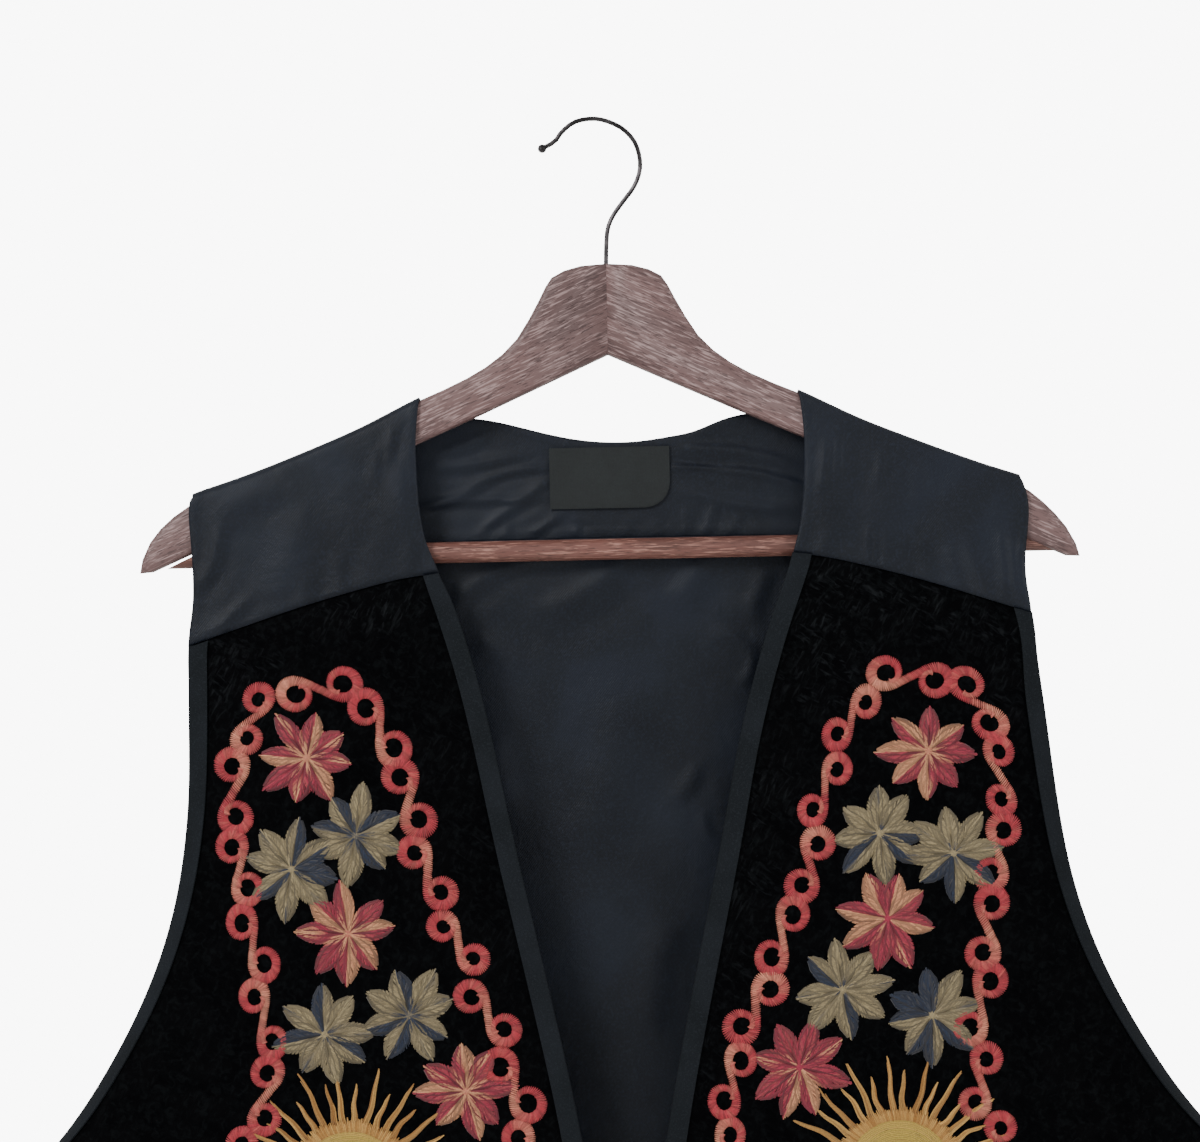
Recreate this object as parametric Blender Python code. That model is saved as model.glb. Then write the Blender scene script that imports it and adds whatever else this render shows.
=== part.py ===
# A waistcoat with velvet fronts, satin yokes and a satin back, hung on a wooden hanger.
# It faces -Y, +X is on the right of a viewer in front of it, and +Z is up.
# The origin is the spot under the hook's crown that rests on a rail.
# Sizes and tables are in millimetres and turn into metres where a mesh is made.

import math
from collections import namedtuple

import bmesh
import bpy
import numpy as np
from mathutils import Vector

MM = 0.001

# The stem stands to the right of the hook's crown, and the hanger is symmetric about the stem.
stem_offset = 5.0
crown_lift = 0.75

# Gaps and walls
gap = 0.3
back_seam_gap = 0.45
satin_wall = 1.2
velvet_wall = 2.4
tape_wall = 0.9
tape_width = 8.0
label_wall = 0.9

# Where the seams end: at the front edge and at the armhole
seam_inner = 83.0
seam_outer = 199.0

# Label, with its corners as x and z
label_left = -29.0
label_right = 28.3
label_top = -155.6
label_bottom = -184.7
label_corner = 12.0

# Hanger
wood_half = 7.0
wood_round = 2.6
wire_radius = 1.1
ball_radius = 2.1
ball_steps = 6
ball_end = math.radians(167.0)
hook_step = 3.2
stem_foot = -92.0
bar_radius = 5.0
bar_height = -204.3
bar_seat = 0.5

# How the cloth goes over the arms
over_half = wood_half + 0.7 + satin_wall
over_round = 4.0
shoulder_seam_drop = 9.3
shoulder_inner = 90.0
shoulder_outer = 194.0
ridge_clear = 1.7
ridge_spare = 2.4

# Lower body
armpit_z = -497.0
hem_z = -735.0

# Small differences between the two sides, as the cloth hangs
yoke_drop = {"left": 3.2, "right": -3.2}
sign = {"left": -1.0, "right": 1.0}

# Each outline is a table of a place and the size read there, for the right-hand side.
Outline = namedtuple("Outline", "at size")

wood_top = [
    Outline(0, -69.0),
    Outline(12, -69.8),
    Outline(22, -72.7),
    Outline(27, -76.0),
    Outline(30, -81.5),
    Outline(35, -91.0),
    Outline(44, -105.0),
    Outline(53, -113.3),
    Outline(63, -119.8),
    Outline(77, -126.6),
    Outline(91, -132.5),
    Outline(119, -146.2),
    Outline(147, -157.8),
    Outline(176, -169.8),
    Outline(199, -180.0),
    Outline(209, -188.0),
    Outline(214, -193.5),
    Outline(218.5, -200.0),
    Outline(222, -208.0),
]
wood_tip = (222.5, -211.8)
wood_bottom = [
    Outline(0, -112.0),
    Outline(59, -138.5),
    Outline(92, -152.9),
    Outline(199.5, -203.5),
    Outline(217, -211.4),
]
wood_flank_samples = (0, 12, 20, 26, 29, 32, 37, 43, 50, 58, 67, 78, 91, 105)
wood_end_samples = (119, 133, 147, 162, 176, 188, 199, 206, 212, 217, 221)

hook_route = [
    (0.0, stem_foot),
    (0.0, -80.0),
    (0.0, -69.0),
    (0.5, -57.5),
    (1.4, -51.3),
    (4.0, -45.7),
    (9.2, -38.7),
    (13.6, -33.1),
    (16.5, -26.7),
    (17.2, -20.3),
    (15.7, -13.2),
    (12.7, -8.1),
    (7.7, -3.7),
    (0.7, -0.6),
    (-5.0, 0.35),
    (-11.4, -0.4),
    (-15.7, -2.3),
    (-20.1, -6.1),
    (-23.0, -10.0),
    (-27.6, -12.6),
]

# How far from the middle the cloth's edges lie at each height
neck_edge = [
    Outline(-215, 83.0),
    Outline(-208, 86.0),
    Outline(-196, 89.0),
    Outline(-178, 91.0),
    Outline(-154, 92.0),
    Outline(-131, 90.0),
]
front_edge = [
    Outline(-215, 82.0),
    Outline(-229, 78.0),
    Outline(-290, 60.5),
    Outline(-345, 49.5),
    Outline(-387, 40.4),
    Outline(-481, 21.3),
    Outline(-560, 10.5),
    Outline(-610, 8.5),
    Outline(-735, 8.5),
]
armhole_edge = [
    Outline(-173, 193.5),
    Outline(-181, 196.4),
    Outline(-215, 196.3),
    Outline(-243, 197.5),
    Outline(-272, 200.2),
    Outline(-310, 202.4),
    Outline(-348, 206.8),
    Outline(-386, 216.1),
    Outline(-424, 232.6),
    Outline(-461, 254.6),
    Outline(-480, 268.5),
    Outline(-497, 285.0),
    Outline(-560, 280.0),
    Outline(-620, 277.5),
    Outline(-735, 282.0),
]
back_armhole_inset = 3.0
armpit_tuck = 1.2

# How far the sides of the cloth hang to the right of their even places
sway = [
    Outline(-250, -1.3),
    Outline(-330, 2.4),
    Outline(-460, 3.0),
    Outline(-735, 2.0),
]

# Heights of seams and of the back neckline, by the distance from the middle
yoke_seam = [
    Outline(seam_inner, -210.8),
    Outline(100, -213.2),
    Outline(117, -217.2),
    Outline(139, -223.0),
    Outline(164, -230.8),
    Outline(seam_outer, -243.0),
]
back_seam = [
    Outline(0, -198.0),
    Outline(85, -198.6),
    Outline(120, -208.0),
    Outline(160, -226.0),
    Outline(seam_outer, -243.0),
]
back_neck = [
    Outline(0, -154.5),
    Outline(20, -153.2),
    Outline(35, -149.4),
    Outline(48, -145.4),
    Outline(60, -140.4),
    Outline(75, -139.6),
    Outline(90, -140.6),
]

# Half the garment's depth, the depth left at its side edges, and the width of the turn to them
half_depth = [
    Outline(-130, over_half),
    Outline(-205, over_half),
    Outline(-260, 11.0),
    Outline(-320, 14.0),
    Outline(-400, 16.5),
    Outline(-500, 18.0),
    Outline(-620, 17.0),
    Outline(-735, 16.0),
]
edge_depth = [
    Outline(-130, over_half),
    Outline(-205, over_half),
    Outline(-242, 9.0),
    Outline(-320, 8.6),
    Outline(-400, 7.0),
    Outline(-460, 4.6),
    Outline(-497, 2.2),
    Outline(-512, gap / 2),
    Outline(-735, gap / 2),
]
turn_width = [
    Outline(-130, 20.0),
    Outline(-242, 22.0),
    Outline(-497, 27.0),
    Outline(-735, 25.0),
]

# Soft folds: the middle of each, its lean from upright in degrees, its size, and how far it
# stands out of the cloth. Fronts and front yokes share a table, so folds run on over a seam.
Fold = namedtuple("Fold", "x z lean length width depth")

front_folds = {
    "left": [
        Fold(-101, -182, 4, 46, 7, 2.0),
        Fold(-122, -196, -14, 40, 8, 1.5),
        Fold(-152, -205, 16, 40, 9, 2.2),
        Fold(-186, -214, 2, 42, 6, 2.0),
        Fold(-112, -320, -13, 120, 15, 2.6),
        Fold(-168, -400, 10, 150, 17, 3.4),
        Fold(-72, -570, -6, 180, 15, 4.0),
        Fold(-142, -650, 2, 200, 21, 6.5),
        Fold(-216, -660, 7, 190, 18, 5.5),
    ],
    "right": [
        Fold(103, -178, -5, 44, 7, 1.8),
        Fold(128, -190, 12, 44, 9, 1.7),
        Fold(160, -206, -14, 38, 9, 2.0),
        Fold(187, -206, -3, 44, 6, 2.2),
        Fold(118, -335, 12, 130, 14, 2.4),
        Fold(172, -410, -12, 140, 18, 3.6),
        Fold(62, -590, 5, 190, 14, 3.8),
        Fold(132, -665, -3, 200, 20, 6.0),
        Fold(206, -650, -6, 190, 19, 5.8),
    ],
}
back_folds = [
    Fold(-62, -176, 68, 34, 4.5, 1.6),
    Fold(-66, -190, 80, 36, 4.5, 1.3),
    Fold(64, -172, -66, 34, 4.5, 1.7),
    Fold(62, -188, -82, 38, 4.5, 1.2),
    Fold(-120, -330, -24, 130, 20, 3.2),
    Fold(96, -300, 30, 120, 18, 2.8),
    Fold(-30, -480, -8, 200, 24, 4.6),
    Fold(60, -610, 6, 230, 24, 5.2),
    Fold(-150, -640, 4, 220, 24, 6.4),
    Fold(168, -650, -5, 220, 26, 6.0),
    Fold(-236, -640, 7, 170, 18, 4.0),
]
fold_fade = 30.0

# Heights above the armpit over which the back's inset and tuck come in
inset_rise = 60.0
tuck_rise = 40.0

# Rows and columns of the cloth's grids
inner_columns = 10
turn_step = 8.0
tape_columns = 2
armhole_rows = 11
side_rows = 7
yoke_rows = 7
corner_steps = 3
back_neck_columns = 5
back_yoke_columns = 12
back_yoke_rows = 7
back_columns = 11

# Colour, roughness and metallic value of each material
Finish = namedtuple("Finish", "colour roughness metallic")

finishes = {
    "satin": Finish((0.013, 0.018, 0.030), 0.42, 0.0),
    "velvet": Finish((0.004, 0.004, 0.005), 0.85, 0.0),
    "tape": Finish((0.022, 0.032, 0.038), 0.80, 0.0),
    "label": Finish((0.010, 0.014, 0.016), 0.70, 0.0),
    "wood": Finish((0.190, 0.095, 0.080), 0.48, 0.0),
    "bar": Finish((0.250, 0.090, 0.058), 0.45, 0.0),
    "wire": Finish((0.060, 0.058, 0.060), 0.32, 1.0),
}


def clear_scene():
    for thing in list(bpy.data.objects):
        bpy.data.objects.remove(thing, do_unlink=True)


def read(table, at):
    # Reads an outline between its rows with a cubic that never overshoots them.
    rows = sorted(table)
    keys = [row.at for row in rows]
    sizes = [row.size for row in rows]
    if at <= keys[0]:
        return sizes[0]
    if at >= keys[-1]:
        return sizes[-1]
    slopes = [(sizes[i + 1] - sizes[i]) / (keys[i + 1] - keys[i]) for i in range(len(keys) - 1)]
    tangents = [slopes[0]]
    for before, after in zip(slopes, slopes[1:]):
        level = before * after <= 0
        tangents.append(0.0 if level else 2 * before * after / (before + after))
    tangents.append(slopes[-1])
    i = next(k for k in range(len(slopes)) if at <= keys[k + 1])
    span = keys[i + 1] - keys[i]
    t = (at - keys[i]) / span
    start = (2 * t**3 - 3 * t**2 + 1) * sizes[i] + (t**3 - 2 * t**2 + t) * span * tangents[i]
    end = (3 * t**2 - 2 * t**3) * sizes[i + 1] + (t**3 - t**2) * span * tangents[i + 1]
    return start + end


def slope_of(table, at):
    return (read(table, at + 1.0) - read(table, at - 1.0)) / 2.0


def ease(value):
    value = min(max(value, 0.0), 1.0)
    return value * value * (3.0 - 2.0 * value)


def side_edge(s, z):
    # How far from the middle a front's armhole and side seam lie, on the side that s names.
    return read(armhole_edge, z) + s * read(sway, z)


def shoulder_end(s):
    # Where a shoulder's ridge ends at the armhole
    return shoulder_outer + s * sway[0].size


def ridge(x):
    # Height of the cloth's outside over an arm. It stands a little higher towards the armhole.
    along = (abs(x) - shoulder_inner) / (shoulder_outer - shoulder_inner)
    return read(wood_top, abs(x)) + ridge_clear + ridge_spare * max(along, 0.0) ** 4


def fold_height(folds, x, z):
    total = 0.0
    for fold in folds:
        lean = math.radians(fold.lean)
        across = (x - fold.x) * math.cos(lean) - (z - fold.z) * math.sin(lean)
        along = (x - fold.x) * math.sin(lean) + (z - fold.z) * math.cos(lean)
        reach = max(0.0, 1.0 - (along / fold.length) ** 2)
        total += fold.depth * reach**2 * math.exp(-((across / fold.width) ** 2))
    return total


def side_turn(z, end, tuck=0.0):
    # Half the depth at a height, the depth left at the side edge, and where the turn to it
    # starts and how wide it is.
    depth = read(half_depth, z)
    left_over = min(read(edge_depth, z), depth)
    left_over = max(left_over - tuck, gap / 2)
    turn = read(turn_width, z)
    flat_end = end - turn * math.sin(math.acos(left_over / depth))
    return depth, left_over, flat_end, turn


def places_across(start, end, z, distances):
    # Distances from the middle of points across half a panel, spaced along the cloth as it
    # runs flat from start and then turns round the side to end.
    depth, left_over, flat_end, turn = side_turn(z, end)
    angles = np.linspace(0.0, math.acos(left_over / depth), 25)
    xs = np.concatenate([[start], flat_end + turn * np.sin(angles)])
    ys = np.concatenate([[depth], depth * np.cos(angles)])
    lengths = np.concatenate([[0.0], np.cumsum(np.hypot(np.diff(xs), np.diff(ys)))])
    return [float(np.interp(s, lengths, xs)) for s in distances(lengths[-1])]


def turned_depth(x, z, end, tuck=0.0):
    # How far out of the middle plane the cloth lies, with no folds
    depth, left_over, flat_end, turn = side_turn(z, end, tuck)
    if x <= flat_end:
        return depth
    along = min((x - flat_end) / turn, 1.0)
    return max(depth * math.sqrt(1.0 - along**2), left_over)


def bound_columns(start_band, end_band):
    # Column distances of a front: even in the middle, with a tape's columns at each edge and
    # two more beside the side turn.
    def distances(width):
        turn_start = width - end_band - 2 * turn_step
        middle = np.linspace(start_band, turn_start, inner_columns)
        lead = [0.0, start_band / 2]
        tail = [width - end_band - turn_step, width - end_band, width - end_band / 2, width]
        return lead + list(middle) + tail

    return distances


def panel_rows(top):
    # Shares of the way down from a seam: to the armpit, then to the hem's two tape rows.
    armpit = (top - armpit_z) / (top - hem_z)
    band = tape_width / (top - hem_z)
    upper = list(np.linspace(0.0, armpit, armhole_rows + 1))
    lower = list(np.linspace(armpit, 1.0 - band, side_rows + 1))[1:]
    return upper + lower + [1.0 - band / 2, 1.0]


def front_grid(side):
    # Outside points of a velvet front, a row for each height, from the front edge outwards.
    s = sign[side]
    drop = yoke_drop[side] + gap / 2
    outer_top = read(yoke_seam, seam_outer) - drop
    inner_top = read(yoke_seam, seam_inner) - drop
    seam_across = places_across(
        read(front_edge, inner_top),
        side_edge(s, outer_top),
        (inner_top + outer_top) / 2,
        bound_columns(tape_width, tape_width),
    )
    rows = []
    for share in panel_rows(outer_top):
        z_in = inner_top + share * (hem_z - inner_top)
        z_out = outer_top + share * (hem_z - outer_top)
        start = read(front_edge, z_in)
        end = side_edge(s, z_out)
        start_band = tape_width * math.hypot(1.0, slope_of(front_edge, z_in))
        end_slope = slope_of(armhole_edge, max(z_out, armpit_z + 2.0))
        end_band = tape_width * math.hypot(1.0, end_slope)
        z_mid = (z_in + z_out) / 2
        across = places_across(start, end, z_mid, bound_columns(start_band, end_band))
        row = []
        for x, seam_x in zip(across, seam_across):
            seam_z = read(yoke_seam, seam_x) - drop
            z = seam_z + share * (hem_z - seam_z)
            row.append(front_point(s, x, z, end))
        rows.append(row)
    return rows


def front_point(s, x, z, end):
    # A point of the fronts or front yokes, with the turn to the side and the folds.
    side = "left" if s < 0 else "right"
    fade = ease((end - x) / fold_fade)
    y = turned_depth(x, z, end) + fold_height(front_folds[side], s * x, z) * fade
    return Vector((s * x, -y, z))


def yoke_grid(side):
    # Outside points of a front yoke, from its lower seam up, over the arm and down behind it.
    s = sign[side]
    drop = yoke_drop[side] - gap / 2
    inner_foot = read(yoke_seam, seam_inner) - drop
    outer_foot = read(yoke_seam, seam_outer) - drop
    start = read(neck_edge, inner_foot)
    end = side_edge(s, outer_foot)
    middle = (inner_foot + outer_foot) / 2
    foot = places_across(start, end, middle, bound_columns(tape_width, tape_width))
    parts = [(x - start) / (end - start) for x in foot]
    inner_top = ridge(shoulder_inner) - over_round
    outer_top = ridge(shoulder_end(s)) - over_round
    rows = []
    for share in np.linspace(0.0, 1.0, yoke_rows + 1):
        z_in = inner_foot + share * (inner_top - inner_foot)
        z_out = outer_foot + share * (outer_top - outer_foot)
        inner_x = read(neck_edge, z_in)
        outer_x = side_edge(s, z_out)
        row = []
        for part in parts:
            x = inner_x + part * (outer_x - inner_x)
            foot_x = start + part * (end - start)
            top_x = shoulder_inner + part * (shoulder_end(s) - shoulder_inner)
            foot_z = read(yoke_seam, foot_x) - drop
            z = foot_z + share * (ridge(top_x) - over_round - foot_z)
            row.append(front_point(s, x, z, outer_x))
        rows.append(row)
    for y, down in over_profile():
        row = []
        for part in parts:
            x = shoulder_inner + part * (shoulder_end(s) - shoulder_inner)
            row.append(Vector((s * x, y, ridge(x) - down)))
        rows.append(row)
    return rows


def over_profile():
    # Depth and drop below the ridge for each row that goes over the arm.
    inset = over_half - over_round
    places = []
    for step in range(1, corner_steps + 1):
        angle = math.radians(90.0 * step / corner_steps)
        places.append((-inset - over_round * math.cos(angle), over_round * (1 - math.sin(angle))))
    for step in range(corner_steps + 1):
        angle = math.radians(90.0 * step / corner_steps)
        places.append((inset + over_round * math.sin(angle), over_round * (1 - math.cos(angle))))
    places.append((over_half, shoulder_seam_drop))
    return places


def back_edge(s, z):
    # The back's armhole edge lies just inside the front's, and joins it at the armpit.
    inset = back_armhole_inset * ease((z - armpit_z) / inset_rise)
    return side_edge(s, z) - inset


def back_point(x, z, end):
    # A point of the back or its yoke, with the turn to the sides and the folds.
    tuck = armpit_tuck * ease((armpit_z + tuck_rise - z) / tuck_rise)
    fade = ease((end - abs(x)) / fold_fade)
    y = turned_depth(abs(x), z, end, tuck) + fold_height(back_folds, x, z) * fade
    return Vector((x, y, z))


def back_yoke_grid():
    # Outside points of the back yoke, from its lower seam up to the neckline and shoulders.
    arm_parts = back_yoke_columns - back_neck_columns
    rows = []
    for share in np.linspace(0.0, 1.0, back_yoke_rows + 1):
        halves = {}
        for s in sign.values():
            top_end = shoulder_end(s)
            foot_end = back_edge(s, read(back_seam, seam_outer))
            inner = list(np.linspace(0.0, shoulder_inner, back_neck_columns + 1))
            outer = list(np.linspace(shoulder_inner, top_end, arm_parts + 1))[1:]
            halves[s] = []
            for top_x in inner + outer:
                foot_x = top_x * foot_end / top_end
                foot_z = read(back_seam, foot_x) + back_seam_gap / 2
                if top_x <= shoulder_inner:
                    top_z = read(back_neck, top_x)
                else:
                    top_z = ridge(top_x) - shoulder_seam_drop - back_seam_gap
                z = foot_z + share * (top_z - foot_z)
                x = foot_x + share * (top_x - foot_x)
                end = foot_end + share * (top_end - foot_end)
                halves[s].append(back_point(s * x, z, end))
        rows.append(halves[-1.0][:0:-1] + halves[1.0])
    return rows


def back_spacing(width):
    # Columns of half the back: even across the flat, closer where the side turns.
    flat = np.linspace(0.0, width - 3 * turn_step, back_columns)
    return list(flat) + [width - 2 * turn_step, width - turn_step, width]


def back_grid():
    # Outside points of the back, from its seam under the yoke down to the hem.
    top = read(back_seam, seam_outer) - back_seam_gap / 2
    rows = []
    for share in panel_rows(top):
        z_out = top + share * (hem_z - top)
        halves = {}
        for s in sign.values():
            end = back_edge(s, z_out)
            across = places_across(0.0, end, z_out, back_spacing)
            seam_across = places_across(0.0, back_edge(s, top), top, back_spacing)
            halves[s] = []
            for x, seam_x in zip(across, seam_across):
                seam_z = read(back_seam, seam_x) - back_seam_gap / 2
                z = seam_z + share * (hem_z - seam_z)
                halves[s].append(back_point(s * x, z, end))
        rows.append(halves[-1.0][:0:-1] + halves[1.0])
    return rows


def normals_of(grid, outward):
    # Unit normals of a grid's points, on the side that the given direction is on.
    heights = len(grid)
    widths = len(grid[0])
    first = None
    normals = []
    for j in range(heights):
        line = []
        for i in range(widths):
            across = grid[j][min(i + 1, widths - 1)] - grid[j][max(i - 1, 0)]
            along = grid[min(j + 1, heights - 1)][i] - grid[max(j - 1, 0)][i]
            normal = across.cross(along).normalized()
            if first is None:
                first = 1.0 if normal.dot(outward) > 0 else -1.0
            line.append(normal * first)
        normals.append(line)
    return normals


def moved(grid, normals, distance):
    return [[p + n * distance for p, n in zip(line, ns)] for line, ns in zip(grid, normals)]


def solid_between(outer, inner, outward):
    # A closed wall between two grids of points, with its faces pointing out.
    shape = bmesh.new()
    skins = []
    for grid in (outer, inner):
        skins.append([[shape.verts.new(p * MM) for p in line] for line in grid])
    heights = len(outer)
    widths = len(outer[0])
    for layer, skin in enumerate(skins):
        for j in range(heights - 1):
            for i in range(widths - 1):
                quad = [skin[j][i], skin[j][i + 1], skin[j + 1][i + 1], skin[j + 1][i]]
                shape.faces.new(quad if layer == 0 else quad[::-1])
    border = [(0, i) for i in range(widths)]
    border += [(j, widths - 1) for j in range(1, heights)]
    border += [(heights - 1, i) for i in range(widths - 2, -1, -1)]
    border += [(j, 0) for j in range(heights - 2, 0, -1)]
    for (j, i), (k, m) in zip(border, border[1:] + border[:1]):
        shape.faces.new([skins[0][k][m], skins[0][j][i], skins[1][j][i], skins[1][k][m]])
    shape.normal_update()
    first = next(iter(shape.faces))
    if first.normal.dot(outward) < 0:
        bmesh.ops.reverse_faces(shape, faces=shape.faces)
    return shape


def tape_solid(outer, inner, side_step, outward):
    # Tape folded over an edge. Each line runs along the edge, from the tape's front border
    # round the edge to its back border; side_step points out of the edge at each place.
    near = []
    far = []
    for line, under, step in zip(outer, inner, side_step):
        count = len(line)
        face = [(line[k] - under[k]).normalized() for k in range(count)]
        for store, away in ((near, gap), (far, gap + tape_wall)):
            front = [line[k] + face[k] * away for k in range(count)]
            back = [under[k] - face[k] * away for k in range(count)]
            front[-1] = front[-1] + step * away
            back[-1] = back[-1] + step * away
            store.append(front + back[::-1])
    return solid_between(far, near, outward)


def edge_tape(grid, inside, columns, rows, outward):
    # Tape along one side edge of a panel. The columns go from the tape's border to the edge.
    outer = [[grid[j][i] for i in columns] for j in rows]
    inner = [[inside[j][i] for i in columns] for j in rows]
    steps = [(line[-1] - line[-2]).normalized() for line in outer]
    return tape_solid(outer, inner, steps, outward)


def hem_tape(grid, inside, outward):
    # Tape along the hem, from beside the front edge's tape to the side seam.
    first = tape_columns
    clear = gap / (grid[-1][first + 1] - grid[-1][first]).length
    rows = (-3, -2, -1)
    outer = []
    inner = []
    for i in range(first, len(grid[0])):
        if i == first:
            outer.append([grid[j][i].lerp(grid[j][i + 1], clear) for j in rows])
            inner.append([inside[j][i].lerp(inside[j][i + 1], clear) for j in rows])
        else:
            outer.append([grid[j][i] for j in rows])
            inner.append([inside[j][i] for j in rows])
    steps = [Vector((0.0, 0.0, -1.0)) for _ in outer]
    return tape_solid(outer, inner, steps, outward)


def finish_material(name):
    finish = finishes[name]
    material = bpy.data.materials.new(name)
    material.use_nodes = True
    shader = material.node_tree.nodes["Principled BSDF"]
    shader.inputs["Base Color"].default_value = (*finish.colour, 1.0)
    shader.inputs["Roughness"].default_value = finish.roughness
    shader.inputs["Metallic"].default_value = finish.metallic
    return material


def place(name, shape, finish, parent, smooth_angle=40.0):
    mesh = bpy.data.meshes.new(name)
    shape.to_mesh(mesh)
    shape.free()
    mesh.shade_smooth()
    mesh.set_sharp_from_angle(angle=math.radians(smooth_angle))
    thing = bpy.data.objects.new(name, mesh)
    bpy.context.scene.collection.objects.link(thing)
    thing.parent = parent
    mesh.materials.append(finish_material(finish))
    return thing


def own_half(grid, outward):
    # Keeps a panel's inner points on its own side of the side seams' plane.
    side = outward.y
    return [[Vector((p.x, side * max(side * p.y, gap / 2), p.z)) for p in line] for line in grid]


def make_panel(name, grid, wall, finish, parent, outward):
    # A front or the back. It gives its inner points too, for the tape.
    inner = own_half(moved(grid, normals_of(grid, outward), -wall), outward)
    place(name, solid_between(grid, inner, outward), finish, parent)
    return inner


def make_yoke(name, grid, wall, finish, parent, outward):
    inner = moved(grid, normals_of(grid, outward), -wall)
    place(name, solid_between(grid, inner, outward), finish, parent)


def arm_shape(s):
    # Half of the hanger: an outline from the mitre to the tip, given its thickness.
    mitre = gap / 2
    samples = wood_flank_samples + wood_end_samples
    top = [(max(x, mitre), read(wood_top, x)) for x in samples]
    bottom = [(max(row.at, mitre), row.size) for row in reversed(wood_bottom)]
    outline = top + [wood_tip] + bottom
    shape = bmesh.new()
    corners = [shape.verts.new(Vector((s * x, -wood_half, z)) * MM) for x, z in outline]
    face = shape.faces.new(corners)
    pushed = bmesh.ops.extrude_face_region(shape, geom=[face])
    moving = [item for item in pushed["geom"] if isinstance(item, bmesh.types.BMVert)]
    bmesh.ops.translate(shape, verts=moving, vec=Vector((0.0, 2 * wood_half, 0.0)) * MM)
    bmesh.ops.recalc_face_normals(shape, faces=shape.faces)
    rim = []
    for edge in shape.edges:
        a, b = (vert.co for vert in edge.verts)
        level = abs(a.y - b.y) < 1e-6
        off_mitre = max(abs(a.x), abs(b.x)) > 1.0 * MM
        if level and off_mitre:
            rim.append(edge)
    bmesh.ops.bevel(
        shape, geom=rim, offset=wood_round * MM, segments=3, profile=0.5, affect="EDGES", material=-1
    )
    return shape


def stem_cutter(parent):
    # The hole that the hook's stem sits in, half of it in each arm.
    shape = bmesh.new()
    top = read(wood_top, 0) + 3.0
    depth = top - stem_foot + gap
    radius = (wire_radius + gap) * MM
    bmesh.ops.create_cone(
        shape, cap_ends=True, segments=16, radius1=radius, radius2=radius, depth=depth * MM
    )
    bmesh.ops.translate(shape, verts=shape.verts, vec=Vector((0.0, 0.0, top - depth / 2)) * MM)
    cutter = place("stem_hole", shape, "wire", parent)
    cutter.hide_render = True
    cutter.display_type = "WIRE"
    return cutter


def make_hanger(parent):
    cutter = stem_cutter(parent)
    for side, s in sign.items():
        arm = place(f"hanger_arm_{side}", arm_shape(s), "wood", parent, 35.0)
        hole = arm.modifiers.new("stem hole", "BOOLEAN")
        hole.operation = "DIFFERENCE"
        hole.solver = "EXACT"
        hole.object = cutter
    place("hanger_bar", bar_shape(), "bar", parent)
    make_hook(parent)


def bar_shape():
    # The trouser bar, with its ends cut to the slope of the arms' undersides.
    shape = bmesh.new()
    bmesh.ops.create_cone(
        shape, cap_ends=True, segments=20, radius1=bar_radius, radius2=bar_radius, depth=2.0
    )
    high_end = underside_place(bar_height + bar_radius + bar_seat)
    low_end = underside_place(bar_height - bar_radius + bar_seat)
    for vert in shape.verts:
        s = 1.0 if vert.co.z > 0 else -1.0
        up = -vert.co.x
        slant = (bar_radius - up) / (2 * bar_radius)
        end = high_end + slant * (low_end - high_end)
        vert.co = Vector((s * end, vert.co.y, bar_height + up)) * MM
    return shape


def underside_place(z):
    # How far from the middle an arm's underside lies at a height
    rows = wood_bottom[::-1]
    return float(np.interp(z, [row.size for row in rows], [row.at for row in rows]))


def smooth_route(points, spacing):
    # A Catmull-Rom curve through the points, read at even steps.
    points = [Vector((x, 0.0, z)) for x, z in points]
    padded = [2 * points[0] - points[1]] + points + [2 * points[-1] - points[-2]]
    fine = []
    for a, b, c, d in zip(padded, padded[1:], padded[2:], padded[3:]):
        slope = (c - a) / 2
        bend = (2 * a - 5 * b + 4 * c - d) / 2
        twist = (3 * b - a - 3 * c + d) / 2
        fine += [b + slope * t + bend * t**2 + twist * t**3 for t in np.arange(12) / 12]
    fine.append(points[-1])
    lengths = np.concatenate([[0.0], np.cumsum([(q - p).length for p, q in zip(fine, fine[1:])])])
    count = round(lengths[-1] / spacing)
    places = np.linspace(0.0, lengths[-1], count + 1)
    axes = [np.interp(places, lengths, [p[k] for p in fine]) for k in range(3)]
    return [Vector(values) for values in zip(*axes)]


def make_hook(parent):
    # Round wire from the wood to the crown and out to a small ball at its tip.
    route = [(point, wire_radius) for point in smooth_route(hook_route, hook_step)]
    tip, before = route[-1][0], route[-2][0]
    ahead = (tip - before).normalized()
    start = math.asin(wire_radius / ball_radius)
    for angle in np.linspace(start, ball_end, ball_steps + 1)[1:]:
        reach = ball_radius * (math.cos(start) - math.cos(angle))
        route.append((tip + ahead * reach, ball_radius * math.sin(angle)))
    curve = bpy.data.curves.new("hanger_hook", "CURVE")
    curve.dimensions = "3D"
    curve.bevel_depth = MM
    curve.bevel_resolution = 2
    curve.use_fill_caps = True
    spline = curve.splines.new("POLY")
    spline.points.add(len(route) - 1)
    for point, (place_at, radius) in zip(spline.points, route):
        point.co = (*(place_at * MM), 1.0)
        point.radius = radius
    spline.use_smooth = True
    hook = bpy.data.objects.new("hanger_hook", curve)
    bpy.context.scene.collection.objects.link(hook)
    hook.parent = parent
    curve.materials.append(finish_material("wire"))


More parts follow.
